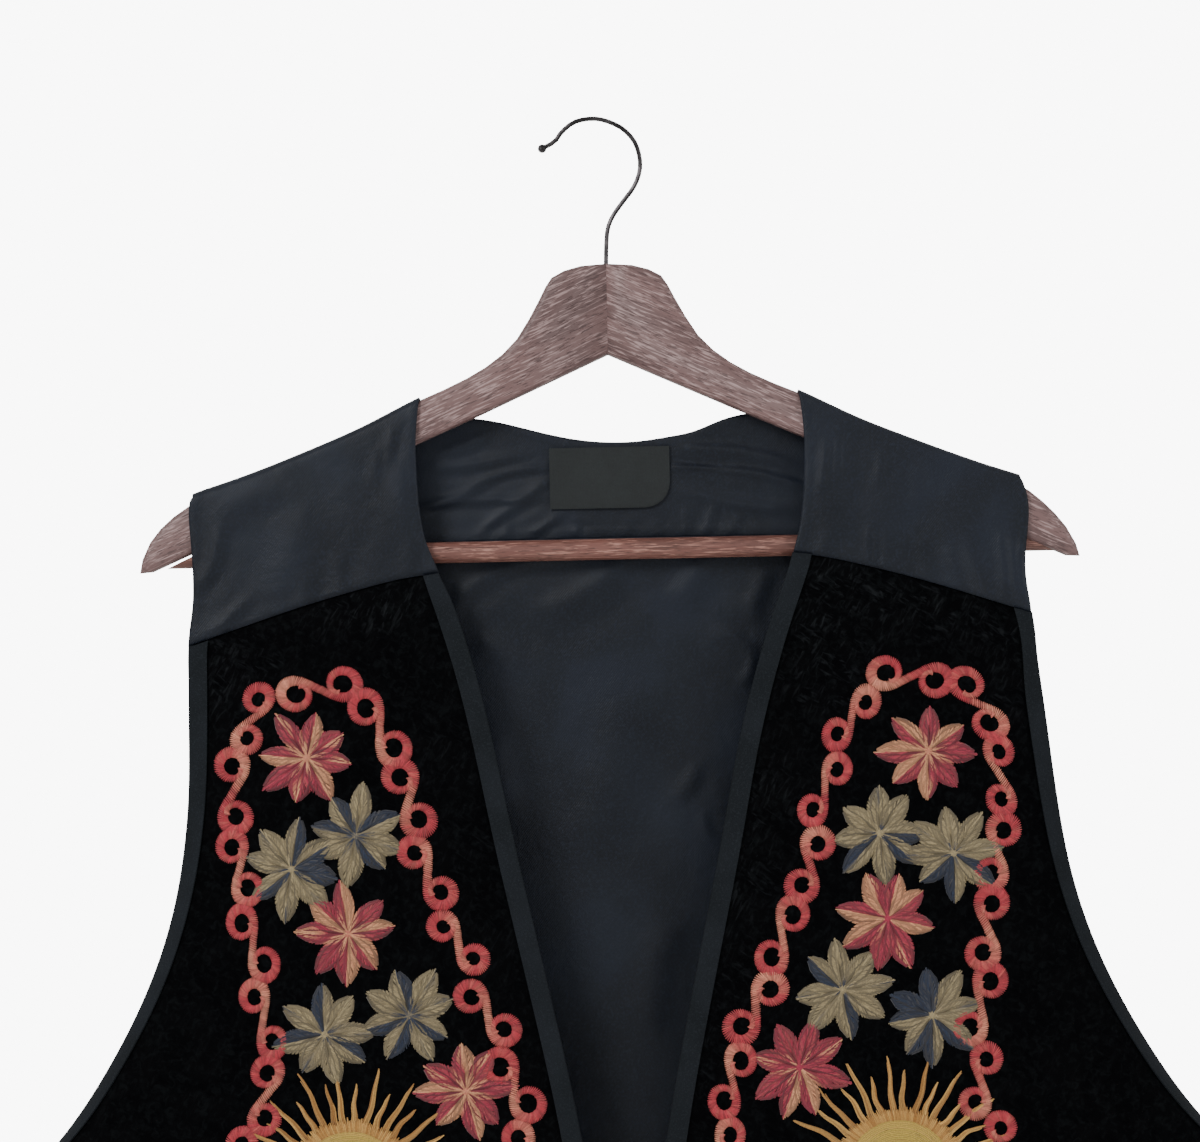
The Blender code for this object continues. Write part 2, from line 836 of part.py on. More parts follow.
def label_shape():
    # A bare woven label inside the back yoke, with one round corner as it is worn.
    outline = [(label_right, label_top), (label_left, label_top), (label_left, label_bottom)]
    for angle in np.radians(np.linspace(-90.0, 0.0, 7)):
        x = label_right - label_corner * (1.0 - math.cos(angle))
        z = label_bottom + label_corner * (1.0 + math.sin(angle))
        outline.append((x, z))
    behind = over_half - satin_wall - gap
    shape = bmesh.new()
    face = shape.faces.new([shape.verts.new(Vector((x, behind, z)) * MM) for x, z in outline])
    pushed = bmesh.ops.extrude_face_region(shape, geom=[face])
    moving = [item for item in pushed["geom"] if isinstance(item, bmesh.types.BMVert)]
    bmesh.ops.translate(shape, verts=moving, vec=Vector((0.0, -label_wall, 0.0)) * MM)
    bmesh.ops.recalc_face_normals(shape, faces=shape.faces)
    return shape


def make_front(side, parent):
    outward = Vector((0.0, -1.0, 0.0))
    grid = front_grid(side)
    inner = make_panel(f"front_{side}", grid, velvet_wall, "velvet", parent, outward)
    front = edge_tape(grid, inner, (2, 1, 0), range(len(grid)), outward)
    place(f"front_binding_{side}", front, "tape", parent)
    arm = edge_tape(grid, inner, (-3, -2, -1), range(armhole_rows + 1), outward)
    place(f"armhole_binding_{side}", arm, "tape", parent)
    place(f"hem_binding_{side}", hem_tape(grid, inner, outward), "tape", parent)


def make_vest():
    clear_scene()
    middle = bpy.data.objects.new("middle", None)
    middle.location = Vector((stem_offset, 0.0, crown_lift)) * MM
    bpy.context.scene.collection.objects.link(middle)
    make_hanger(middle)
    for side in sign:
        make_front(side, middle)
        front = Vector((0.0, -1.0, 0.0))
        make_yoke(f"front_yoke_{side}", yoke_grid(side), satin_wall, "satin", middle, front)
    behind = Vector((0.0, 1.0, 0.0))
    make_yoke("back_yoke", back_yoke_grid(), satin_wall, "satin", middle, behind)
    make_panel("back_panel", back_grid(), satin_wall, "satin", middle, behind)
    place("label", label_shape(), "label", middle)


make_vest()
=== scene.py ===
# Looks of an embroidered velvet waistcoat on its wooden hanger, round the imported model.
# Places are in millimetres in the row frame: +X to the viewer's right, +Z up, the viewer at -Y.
import math
import random

import bmesh
import bpy
import numpy as np
from mathutils import Matrix, Vector
from mathutils.bvhtree import BVHTree
from mathutils.kdtree import KDTree


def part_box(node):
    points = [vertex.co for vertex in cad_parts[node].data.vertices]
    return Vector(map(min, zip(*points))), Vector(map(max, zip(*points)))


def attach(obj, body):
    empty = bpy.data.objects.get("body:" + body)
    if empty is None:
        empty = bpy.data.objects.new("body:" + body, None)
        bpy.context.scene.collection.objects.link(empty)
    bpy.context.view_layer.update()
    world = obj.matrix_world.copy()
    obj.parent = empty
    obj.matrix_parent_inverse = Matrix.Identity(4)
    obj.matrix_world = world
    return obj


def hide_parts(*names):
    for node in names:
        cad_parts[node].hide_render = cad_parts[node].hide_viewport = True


mm = 0.001
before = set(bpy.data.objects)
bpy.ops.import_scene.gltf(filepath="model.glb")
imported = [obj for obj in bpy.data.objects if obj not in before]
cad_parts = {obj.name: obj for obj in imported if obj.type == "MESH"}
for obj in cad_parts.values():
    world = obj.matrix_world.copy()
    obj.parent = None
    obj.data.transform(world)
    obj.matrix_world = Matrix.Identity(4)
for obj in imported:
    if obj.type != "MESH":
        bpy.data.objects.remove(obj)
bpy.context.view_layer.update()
dice = random.Random(11)
sides = {"left": -1, "right": 1}
print("frame loaded with", len(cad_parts), "nodes")

studio = {
    "cameraDistance": 1800,
    "aim": (-0.9, -213.8),
    "roll": 1.2,
    "frameWidth": 570,
    "floorHeight": -980,
    "floorSize": 5200,
    "backdropPlace": 6000,
    "backdropSize": 3400,
    "backdropLight": 8.0,
    "keyPlace": (-1150, -1500, 750),
    "keySize": 700,
    "keyPower": 34,
    "fillPlace": (1500, -1200, 200),
    "fillSize": 1100,
    "fillPower": 12,
}


def aimAt(thing, target):
    thing.rotation_euler = (target - thing.location).to_track_quat("-Z", "Y").to_euler()


def addLight(name, place, size, power):
    lamp = bpy.data.lights.new(name, "AREA")
    lamp.shape = "DISK"
    lamp.size = size * mm
    lamp.energy = power
    light = bpy.data.objects.new(name, lamp)
    bpy.context.scene.collection.objects.link(light)
    light.location = Vector(place) * mm
    aimAt(light, Vector((0, 0, -300)) * mm)


def makeStudio():
    lens = bpy.data.cameras.new("camera")
    camera = bpy.data.objects.new("camera", lens)
    bpy.context.scene.collection.objects.link(camera)
    aimX, aimZ = studio["aim"]
    camera.location = Vector((aimX, -studio["cameraDistance"], aimZ)) * mm
    camera.rotation_euler = (math.radians(90), math.radians(studio["roll"]), 0)
    lens.sensor_width = 36
    lens.lens = lens.sensor_width * studio["cameraDistance"] / studio["frameWidth"]
    bpy.context.scene.camera = camera

    addLight("key light", studio["keyPlace"], studio["keySize"], studio["keyPower"])
    addLight("fill light", studio["fillPlace"], studio["fillSize"], studio["fillPower"])
    world = bpy.data.worlds.new("white room")
    bpy.context.scene.world = world
    world.use_nodes = True
    sky = world.node_tree.nodes["Background"]
    sky.inputs["Color"].default_value = (1, 1, 1, 1)
    sky.inputs["Strength"].default_value = 1.0

    plane = bmesh.new()
    bmesh.ops.create_grid(plane, x_segments=1, y_segments=1, size=studio["floorSize"] / 2 * mm)
    low = Vector((0, 0, studio["floorHeight"])) * mm
    bmesh.ops.translate(plane, verts=plane.verts, vec=low)
    floor = newPiece("floor", meshOf(plane, "floor"), [floorFinish()])

    sheet = bmesh.new()
    bmesh.ops.create_grid(sheet, x_segments=1, y_segments=1, size=studio["backdropSize"] / 2 * mm)
    upright = Matrix.Rotation(math.radians(90), 3, "X")
    bmesh.ops.rotate(sheet, verts=sheet.verts, matrix=upright)
    behind = Vector((aimX, studio["backdropPlace"], aimZ)) * mm
    bmesh.ops.translate(sheet, verts=sheet.verts, vec=behind)
    backdrop = newPiece("backdrop", meshOf(sheet, "backdrop"), [backdropFinish()])
    backdrop.visible_diffuse = False  # it whitens the picture and lights nothing
    backdrop.visible_glossy = False
    backdrop.visible_shadow = False
    print("camera, lights, floor and backdrop are in place")


def linear(colour):
    # A colour written as on a web page, as the linear values that a shader takes.
    parts = [int(colour[k : k + 2], 16) / 255 for k in (1, 3, 5)]
    return (*[p / 12.92 if p <= 0.04045 else ((p + 0.055) / 1.055) ** 2.4 for p in parts], 1.0)


class Value:
    # A number on its way through a finish, so that shader maths reads as plain sums.
    def __init__(self, finish, socket):
        self.finish = finish
        self.socket = socket

    def reckon(self, operation, *values):
        return self.finish.add("ShaderNodeMath", {"operation": operation}, dict(enumerate(values)))

    def __add__(self, other):
        return self.reckon("ADD", self, other)

    def __radd__(self, other):
        return self.reckon("ADD", other, self)

    def __sub__(self, other):
        return self.reckon("SUBTRACT", self, other)

    def __rsub__(self, other):
        return self.reckon("SUBTRACT", other, self)

    def __mul__(self, other):
        return self.reckon("MULTIPLY", self, other)

    def __rmul__(self, other):
        return self.reckon("MULTIPLY", other, self)

    def between(self, low, high):
        # 0 at low and 1 at high, with a soft start and end. Low may be the larger.
        settings = {"interpolation_type": "SMOOTHSTEP"}
        inputs = {"Value": self, "From Min": low, "From Max": high}
        return self.finish.add("ShaderNodeMapRange", settings, inputs)


class Finish:
    def __init__(self, name):
        self.material = bpy.data.materials.new(name)
        self.material.use_nodes = True
        self.tree = self.material.node_tree
        self.tree.nodes.clear()

    def add(self, kind, settings, inputs, output=0):
        made = self.tree.nodes.new(kind)
        for name, value in settings.items():
            setattr(made, name, value)
        for key, value in inputs.items():
            if isinstance(value, Value):
                self.tree.links.new(value.socket, made.inputs[key])
            else:
                made.inputs[key].default_value = value
        return Value(self, made.outputs[output]) if made.outputs else None

    def place(self, turn=0.0, stretch=(1, 1, 1)):
        # Object places, turned in the upright plane and then drawn out along an axis.
        spot = self.add("ShaderNodeTexCoord", {}, {}, output=3)
        inputs = {"Vector": spot, "Rotation": (0, math.radians(turn), 0), "Scale": stretch}
        return self.add("ShaderNodeMapping", {"vector_type": "TEXTURE"}, inputs)

    def noise(self, place, size, detail=2.0, distortion=0.0, roughness=0.5):
        # Soft noise whose blots are about as wide as the size in millimetres.
        inputs = {"Vector": place, "Scale": 1 / (size * mm), "Detail": detail}
        inputs |= {"Distortion": distortion, "Roughness": roughness}
        return self.add("ShaderNodeTexNoise", {}, inputs)

    def bands(self, place, size):
        # Even ribs, one to each size in millimetres along X.
        inputs = {"Vector": place, "Scale": math.tau / (20 * size * mm)}
        return self.add("ShaderNodeTexWave", {}, inputs, output=1)

    def mix(self, share, first, second):
        inputs = {0: share, 6: first, 7: second}
        return self.add("ShaderNodeMix", {"data_type": "RGBA"}, inputs, output=2)

    def relief(self, height, depth):
        return self.add("ShaderNodeBump", {}, {"Height": height, "Distance": depth * mm})

    def attribute(self, name, output):
        return self.add("ShaderNodeAttribute", {"attribute_name": name}, {}, output)

    def surface(self, inputs):
        shader = self.add("ShaderNodeBsdfPrincipled", {}, inputs)
        self.add("ShaderNodeOutputMaterial", {}, {"Surface": shader})
        return self.material


def floorFinish():
    paper = Finish("palePaper")
    mottle = paper.noise(paper.place(), 240)
    colour = paper.mix(mottle, linear("#f4f4f2"), linear("#efefed"))
    return paper.surface({"Base Color": colour, "Roughness": 0.9})


def backdropFinish():
    paper = Finish("whiteBackdrop")
    mottle = paper.noise(paper.place(), 900)
    colour = paper.mix(mottle, linear("#ffffff"), linear("#fdfdfd"))
    light = {"Base Color": colour, "Emission Color": colour, "Roughness": 1.0}
    return paper.surface(light | {"Emission Strength": studio["backdropLight"]})


# The lighter tone is painted sheen in broad patches and also the fine lighter grain of the weave; the
# shade tone is painted shade.
satinLook = {
    "colour": "#12151b",
    "sheenAndGrain": "#1a1f29",
    "shade": "#0a0c11",
    "roughness": 0.44,
}


def satinFinish():
    satin = Finish("navySatin")
    place = satin.place()
    sheenAndShadeCloud = satin.noise(place, 48, 2, 0.5)
    grain = satin.noise(place, 1.1, 1)
    base, sheenAndGrain, shade = (linear(satinLook[key]) for key in ("colour", "sheenAndGrain", "shade"))
    # Broad cloudy patches, painted lighter as sheen and darker as shade
    colour = satin.mix(sheenAndShadeCloud.between(0.46, 0.68) * 0.42, base, sheenAndGrain)
    colour = satin.mix(sheenAndShadeCloud.between(0.5, 0.3) * 0.42, colour, shade)
    colour = satin.mix(grain.between(0.4, 0.8) * 0.6, colour, sheenAndGrain)
    crinkle = satin.noise(place, 13, 3, 0.8)
    twill = satin.bands(satin.place(turn=38), 0.9)
    height = crinkle * 0.5 + twill * 0.05 + grain * 0.11
    return satin.surface(
        {
            "Base Color": colour,
            "Roughness": satinLook["roughness"] + (crinkle - 0.5) * 0.2,
            "Specular IOR Level": 0.13,
            "Sheen Weight": 0.04,
            "Sheen Roughness": 0.35,
            "Sheen Tint": linear("#8f9bb8"),
            "Normal": satin.relief(height, 1.1),
        }
    )


# The crushed tone is painted sheen: streaks of crushed pile are painted a lighter grey.
velvetLook = {
    "pile": "#030304",
    "mottle": "#0a0c0d",
    "crushSheen": "#151719",
    "deep": "#010102",
}


def velvetFinish():
    velvet = Finish("crushedVelvet")
    place = velvet.place()
    crushSheenMask = velvet.attribute("crushSheenMask", 2)
    lay = velvet.noise(place, 21, 2, 1.2)
    streak = velvet.noise(velvet.place(28, (1, 1, 4.6)), 1.9, 4, 1.0)
    cross = velvet.noise(velvet.place(-58, (1, 1, 3.8)), 2.2, 4, 1.2)
    leaning = lay.between(0.4, 0.55)
    marks = leaning * streak + (1 - leaning) * cross
    # Streaks of crushed pile, painted lighter grey as their sheen
    worn = marks.between(0.48, 0.8) * crushSheenMask
    pile = velvet.noise(place, 0.7, 2)
    mottle = velvet.noise(place, 3.4, 4, 0.8)
    colour = velvet.mix(lay.between(0.35, 0.7), linear(velvetLook["deep"]), linear(velvetLook["pile"]))
    colour = velvet.mix(mottle.between(0.44, 0.72) * 0.6, colour, linear(velvetLook["mottle"]))
    colour = velvet.mix(worn, colour, linear(velvetLook["crushSheen"]))
    height = marks * 0.5 + pile * 0.25
    return velvet.surface(
        {
            "Base Color": colour,
            "Roughness": 0.88 - worn * 0.2,
            "Specular IOR Level": 0.03,
            "Sheen Weight": 0.04,
            "Sheen Roughness": 0.3,
            "Sheen Tint": linear("#9aa0a8"),
            "Normal": velvet.relief(height, 0.9),
        }
    )


tapeLook = {"colour": "#14171b", "worn": "#1e2226", "shade": "#0f1215", "rib": 0.9}


def tapeFinish():
    tape = Finish("charcoalTape")
    place = tape.place()
    mottle = tape.noise(place, 26, 2, 0.4)
    fleck = tape.noise(place, 0.9, 2)
    colour = tape.mix(mottle.between(0.3, 0.7), linear(tapeLook["shade"]), linear(tapeLook["colour"]))
    colour = tape.mix(fleck.between(0.45, 0.8) * 0.6, colour, linear(tapeLook["worn"]))
    along, across = (tape.bands(tape.place(turn=turn), tapeLook["rib"]) for turn in (20, -70))
    weave = along + across
    return tape.surface(
        {
            "Base Color": colour,
            "Roughness": 0.8 + fleck * 0.1,
            "Specular IOR Level": 0.1,
            "Normal": tape.relief(weave * 0.08 + fleck * 0.2, 0.6),
        }
    )


labelLook = {"colour": "#0b0f10", "thread": "#161c1d"}


def labelFinish():
    label = Finish("wovenLabel")
    place = label.place()
    fleck = label.noise(place, 0.8, 2)
    mottle = label.noise(place, 9, 2)
    warp = label.bands(label.place(), 0.8)
    weft = label.bands(label.place(turn=90), 0.6)
    share = fleck.between(0.35, 0.8) * 0.6 + mottle.between(0.4, 0.7) * 0.25
    colour = label.mix(share, linear(labelLook["colour"]), linear(labelLook["thread"]))
    return label.surface(
        {
            "Base Color": colour,
            "Roughness": 0.62 + fleck * 0.12,
            "Specular IOR Level": 0.3,
            "Normal": label.relief(warp * weft * 0.3 + fleck * 0.2, 0.4),
        }
    )


def threadFinish():
    # Embroidery silk. Each stitch has its own tone in the piece's threadTone attribute.
    thread = Finish("embroideryThread")
    tone = thread.attribute("threadTone", 0)
    place = thread.place()
    fibre = thread.noise(place, 0.5, 2)
    shade = thread.mix(fibre.between(0.35, 0.7) * 0.35, tone, linear("#1a0d0c"))
    return thread.surface(
        {
            "Base Color": shade,
            "Roughness": 0.5 + fibre * 0.15,
            "Specular IOR Level": 0.3,
            "Sheen Weight": 0.1,
            "Normal": thread.relief(fibre, 0.12),
        }
    )


armLook = {"colour": "#604846", "pale": "#937b79", "dark": "#3a2827", "slope": 24.5}
barLook = {"colour": "#603b33", "pale": "#926a5e", "dark": "#3e231c", "slope": 0.0}


def woodFinish(name, look, turn):
    wood = Finish(name)
    streaks = wood.noise(wood.place(turn, (13, 1, 1)), 0.75, 3, 0.4, 0.6)
    figure = wood.noise(wood.place(turn, (9, 1, 1)), 9, 2, 0.6)
    pores = wood.noise(wood.place(turn, (9, 1, 1)), 0.6, 2)
    pits = pores.between(0.57, 0.68)
    colour = wood.mix(figure.between(0.4, 0.65) * 0.5, linear(look["colour"]), linear(look["dark"]))
    colour = wood.mix(streaks.between(0.5, 0.66) * 0.8, colour, linear(look["pale"]))
    colour = wood.mix(pits * 0.75, colour, linear(look["dark"]))
    height = streaks * 0.5 - pits * 0.5
    return wood.surface(
        {
            "Base Color": colour,
            "Roughness": 0.42 + streaks * 0.16,
            "Specular IOR Level": 0.4,
            "Normal": wood.relief(height, 0.25),
        }
    )


def wireFinish():
    wire = Finish("gunmetalWire")
    place = wire.place()
    tarnish = wire.noise(place, 5, 3)
    scratch = wire.noise(place, 0.6, 2)
    colour = wire.mix(tarnish.between(0.4, 0.7), linear("#2a2829"), linear("#454243"))
    return wire.surface(
        {
            "Base Color": colour,
            "Metallic": 1.0,
            "Roughness": 0.26 + tarnish * 0.2,
            "Normal": wire.relief(scratch, 0.05),
        }
    )


def copyOf(shape, name):
    mesh = bpy.data.meshes.new(name)
    shape.to_mesh(mesh)
    return mesh


def meshOf(shape, name):
    mesh = copyOf(shape, name)
    shape.free()
    return mesh


def newPiece(name, mesh, finishes):
    piece = bpy.data.objects.new(name, mesh)
    bpy.context.scene.collection.objects.link(piece)
    mesh.materials.clear()
    for finish in finishes:
        mesh.materials.append(finish)
    return piece


def bakedMesh(thing, name):
    # The mesh that an object's modifiers or bevel make
    graph = bpy.context.evaluated_depsgraph_get()
    mesh = bpy.data.meshes.new_from_object(thing.evaluated_get(graph))
    mesh.name = name
    return mesh


def smooth(value):
    # A soft step from 0 to 1, for one number or an array of them
    value = np.clip(value, 0, 1)
    return value * value * (3 - 2 * value)


# Creases, each from x, z to x, z, with how far it bows aside, its width and its height. They
# stand towards the viewer, and a shallow hollow lies beside each.
frontCreases = {
    "left": [
        (-97.5, -143.4, -101, -161.8, 0.6, 1.8, 1.1),
        (-103.3, -151.8, -107.2, -171.1, -0.8, 2.2, 0.8),
        (-183.2, -185.9, -146.2, -169.8, 2, 7.5, 0.9),
        (-179.4, -187.1, -191, -219.4, 3, 3.4, 1.5),
        (-166.4, -221.7, -186.3, -240.4, 1.5, 2.8, 1.3),
        (-171.7, -228.8, -181.5, -243.5, -1.2, 2.2, 0.9),
        (-140.1, -211.7, -142.7, -231.2, 0.8, 4, 0.9),
        (-112.4, -193.3, -119.8, -219.2, -1.6, 5.5, -0.5),
        (-126, -204, -124, -228, 0.8, 3.6, 0.8),
        (-90, -196, -95, -222, 1.2, 3, 0.7),
        (-150, -236, -146, -266, 1.4, 4.2, 0.9),
        (-112, -226, -118, -252, -1, 3.4, 0.8),
        (-98, -220, -96, -250, 1.2, 3, 0.9),
        (-184, -246, -178, -292, -2.4, 4.4, 1.1),
        (-72, -300, -58, -362, 4, 6, 1),
        (-196, -330, -206, -400, 3, 6, 1.2),
        (-226, -430, -250, -500, 5, 7, 1.6),
        (-252, -505, -208, -548, -5, 6, 1.6),
        (-250, -540, -196, -560, 4, 5, 1.2),
        (-40, -520, -52, -640, 4, 8, 1.6),
        (-100, -600, -92, -732, -5, 10, 2),
        (-176, -590, -186, -735, 6, 11, 2.2),
        (-246, -600, -250, -732, -4, 9, 1.8),
    ],
    "right": [
        (107.2, -152.7, 103.4, -179.1, 1, 1.9, 1.1),
        (114.5, -147.2, 112.6, -171.9, -0.6, 1.7, 1.2),
        (119, -150.2, 118, -165.5, 0.4, 1.6, 0.8),
        (133.7, -158.6, 130.8, -176.3, 0.6, 2.2, 0.9),
        (151.2, -165.6, 149, -188.7, 1, 4.6, 0.8),
        (130.9, -195.7, 129.8, -219.7, 0.2, 1.7, -0.7),
        (126.9, -193.7, 126.2, -217.7, 0.4, 2.2, 0.8),
        (187.4, -198.1, 190.3, -230.8, 1.4, 3.2, 1.4),
        (197, -203.5, 199, -229, -0.8, 2.4, 0.9),
        (164.4, -205.2, 177.9, -235.3, -1.8, 5, 1.2),
        (150, -202, 154, -224, 1, 3.6, 0.7),
        (108, -196, 104, -214, -0.8, 3.2, 0.7),
        (143, -222, 150, -246, 1.2, 3.4, 0.9),
        (112, -214, 120, -240, -1.2, 3.4, 0.9),
        (92, -232, 122, -256, 1.6, 3.6, 1),
        (84, -262, 116, -276, -1.6, 3.6, 0.8),
        (172, -236, 190, -262, 2.2, 4, 1.2),
        (192, -262, 186, -318, 2.4, 4.6, 1),
        (70, -318, 58, -380, -3, 6, 0.9),
        (206, -350, 216, -412, -3, 6, 1.2),
        (238, -440, 258, -505, -4, 7, 1.5),
        (262, -512, 216, -552, 5, 6, 1.5),
        (258, -548, 208, -570, -4, 5, 1.1),
        (46, -540, 56, -655, -4, 8, 1.5),
        (108, -585, 102, -730, 5, 10, 2.1),
        (178, -600, 190, -735, -6, 11, 2),
        (250, -610, 256, -733, 4, 9, 1.8),
    ],
}
backCreases = [
    (-24, -164.6, -62, -172, -2.2, 1.8, 1.1),
    (-52, -170, -86, -181.3, 1.5, 2.2, 1),
    (-25.1, -170, -46.4, -180.2, 1.8, 1.9, 1),
    (-42.8, -178.6, -88, -182.7, -1.4, 2.3, 0.9),
    (-34.8, -158.6, -86, -163.2, 1.2, 2.4, 0.9),
    (-28, -177, -57.6, -194.4, -2, 2.1, 1),
    (-52, -149, -78, -157.3, 1, 2.6, 0.7),
    (-18.3, -184.6, -33.4, -194.9, 1.2, 1.8, 0.9),
    (32, -164.9, 60, -166.9, 0.8, 1.6, 1),
    (56, -166.6, 100, -176.7, 2, 2.2, 1.1),
    (36.2, -154.2, 93.8, -164.9, 1.8, 2.6, 0.9),
    (40, -176, 92, -186, -2, 2.8, 0.7),
    (54.9, -181.6, 49.4, -197.6, 0.6, 1.6, 0.9),
    (41.6, -183.9, 41.2, -196.2, 0.3, 1.5, 0.6),
    (66.7, -187.6, 61.5, -196.9, 0.4, 1.6, 0.6),
    (-10.5, -187.3, -12.1, -196.5, 0.3, 1.5, 0.6),
    (13, -188.3, 12, -197, 0.3, 1.7, 0.5),
    (26, -189.3, 28, -197, 0.3, 1.5, 0.5),
    (-44, -189, -46, -197, 0.3, 1.6, 0.5),
    (-16.4, -208, -50.5, -214.4, -2.4, 2.6, 1.1),
    (-46.5, -212.2, -72.3, -230.7, -2, 3, 1.2),
    (12.2, -208.6, -30.4, -234.6, 3, 7, 1.6),
    (49.1, -207.5, 34.2, -231.1, 1.5, 6.5, 1.4),
    (80, -214, 70, -238, -1.4, 4, 1),
    (50.4, -244.8, 70, -253.7, 3, 3, 1),
    (70, -250.7, 64.7, -270.2, 3.4, 3, 1),
    (-60, -244, -40, -262, 3, 6.5, 1.2),
    (-52, -290, -44, -330, -3, 8, 1.3),
    (44.5, -307.2, 31.8, -323.5, 1.6, 3.6, 1),
    (47, -330.6, 52.4, -342.6, -3, 2, 0.7),
    (6, -270, -14, -350, 6, 12, 1.6),
    (30, -380, 18, -440, -4, 9, 1.2),
    (-150, -250, -176, -330, 6, 9, 1.6),
    (150, -262, 178, -350, -6, 9, 1.5),
    (-236, -470, -160, -520, -8, 7, 1.8),
    (-244, -505, -150, -566, 7, 8, 1.6),
    (244, -474, 164, -530, 8, 7, 1.7),
    (252, -512, 160, -580, -7, 8, 1.6),
    (-96, -560, -106, -728, 6, 11, 2.2),
    (-20, -600, -10, -732, -5, 12, 2.2),
    (76, -590, 70, -730, 6, 11, 2),
    (150, -620, 158, -733, -5, 10, 2),
    (-196, -610, -204, -730, 5, 10, 2),
    (222, -630, 228, -731, -4, 9, 1.8),
]


# How strongly creases stand out, and the hollow beside each, in its own width and height
creaseLook = {
    "frontDepth": 0.85,
    "backDepth": 1.25,
    "reach": 0.62,
    "fade": 0.38,
    "hollowPlace": 1.7,
    "hollowWidth": 1.2,
    "hollowDepth": 0.4,
}


def creaseHeight(x, z, creases):
    look = creaseLook
    depth = look["backDepth" if creases is backCreases else "frontDepth"]
    total = np.zeros(len(x))
    for x0, z0, x1, z1, bow, width, height in creases:
        length = math.hypot(x1 - x0, z1 - z0)
        rightX, rightZ = (x1 - x0) / length, (z1 - z0) / length
        along = ((x - x0) * rightX + (z - z0) * rightZ) / length
        inside = np.clip(along, 0, 1)
        across = (z - z0) * rightX - (x - x0) * rightZ - 4 * bow * inside * (1 - inside)
        fade = smooth((look["reach"] - np.abs(along - 0.5)) / look["fade"])
        ridge = np.exp(-((across / width) ** 2))
        beside = (across - look["hollowPlace"] * width) / (look["hollowWidth"] * width)
        total += depth * height * fade * (ridge - look["hollowDepth"] * np.exp(-(beside**2)))
    return total


def readPoints(mesh):
    flat = np.empty(len(mesh.vertices) * 3)
    mesh.vertices.foreach_get("co", flat)
    return flat.reshape(-1, 3) / mm


def writePoints(mesh, points):
    mesh.vertices.foreach_set("co", (points * mm).ravel())
    mesh.update()


def joinedCopy(node):
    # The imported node's loose triangles as one skin, of quads where it had them.
    skin = bmesh.new()
    skin.from_mesh(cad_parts[node].data)
    bmesh.ops.remove_doubles(skin, verts=skin.verts, dist=0.01 * mm)
    bmesh.ops.join_triangles(
        skin,
        faces=skin.faces,
        angle_face_threshold=math.radians(30),
        angle_shape_threshold=math.radians(70),
    )
    return skin


def rimOf(skin):
    return [edge for edge in skin.edges if edge.calc_face_angle(0.0) > math.radians(50)]


def rimTree(rim, spacing=1.2):
    # Places along the rim about as far apart as the spacing, to look up how near it is.
    spots = []
    for edge in rim:
        start, end = (vert.co for vert in edge.verts)
        count = max(2, round((end - start).length / (spacing * mm)))
        spots += [start.lerp(end, k / count) for k in range(count)]
    tree = KDTree(len(spots))
    for number, spot in enumerate(spots):
        tree.insert(spot, number)
    tree.balance()
    return tree


def distances(points, tree):
    return np.array([tree.find(Vector(point) * mm)[2] / mm for point in points])


# Seams run across, no steeper than the slope, in a band of heights. The shoulders' seams are
# those behind the ridge, away from the neck. A lapped seam goes up under the next piece over
# the reach below it. A slanted one is cut askew, so that no light comes straight through it,
# and its outer side sinks into a valley.
seamLook = {
    "slope": 0.62,
    "chest": (-262.0, -190.0),
    "shoulder": (-212.0, -120.0),
    "shoulderStart": 86.0,
    "shoulderDepth": 1.0,
    "middle": 5.0,
    "reach": 4.0,
    "lap": (1.6, 1.4),
    "slant": 0.9,
    "cut": 2.5,
    "margin": 4.0,
    "sameWall": 3.0,
    "sameStretch": 12.0,
    "valley": 0.35,
    "valleyReach": 1.4,
}


def seamEdges(rim, band):
    look = seamLook
    low, high = (height * mm for height in look[band])
    found = []
    for edge in rim:
        start, end = (vert.co for vert in edge.verts)
        level = abs(end.z - start.z) < look["slope"] * (end - start).length
        inBand = low < min(start.z, end.z) and max(start.z, end.z) < high
        if band == "shoulder":
            outward = min(abs(spot.x / mm - look["middle"]) for spot in (start, end))
            level = level and outward > look["shoulderStart"]
            level = level and min(start.y, end.y) > look["shoulderDepth"] * mm
        if level and inBand:
            found.append(edge)
    return found


def lapSeam(points, rim):
    rise, depth = seamLook["lap"]
    share = smooth(1 - distances(points, rimTree(seamEdges(rim, "chest"))) / seamLook["reach"])
    points[:, 2] += rise * share
    points[:, 1] += depth * share


def slantSeam(points, edges):
    look = seamLook
    spots = [vert.co for edge in edges for vert in edge.verts]
    spots = np.array([tuple(spot / mm) for spot in spots])
    low, high = spots[:, 2].min() - look["margin"], spots[:, 2].max() + look["margin"]
    for number in np.flatnonzero((points[:, 2] > low) & (points[:, 2] < high)):
        x, y, z = points[number]
        order = np.argsort(np.abs(spots[:, 0] - x))[:4]
        weight = 1 / (0.5 + np.abs(spots[order, 0] - x))
        middleY, middleZ = (weight @ spots[order][:, 1:]) / weight.sum()
        away = abs(spots[order[0], 0] - x)
        if abs(y - middleY) > look["sameWall"] or away > look["sameStretch"]:
            continue
        share = smooth(1 - abs(z - middleZ) / look["cut"])
        points[number, 2] += look["slant"] * (y - middleY) * share
        if y > middleY:
            share = smooth(1 - abs(z - middleZ) / look["valleyReach"])
            points[number, 1] -= look["valley"] * share


def shiftEdges(points, shifts):
    # Lets a piece's edge in or out round the given places.
    x, z = points[:, 0].copy(), points[:, 2].copy()
    for middleX, middleZ, right, up, wideX, wideZ in shifts:
        reach = ((x - middleX) / wideX) ** 2 + ((z - middleZ) / wideZ) ** 2
        points[:, 0] += right * np.exp(-reach)
        points[:, 2] += up * np.exp(-reach)


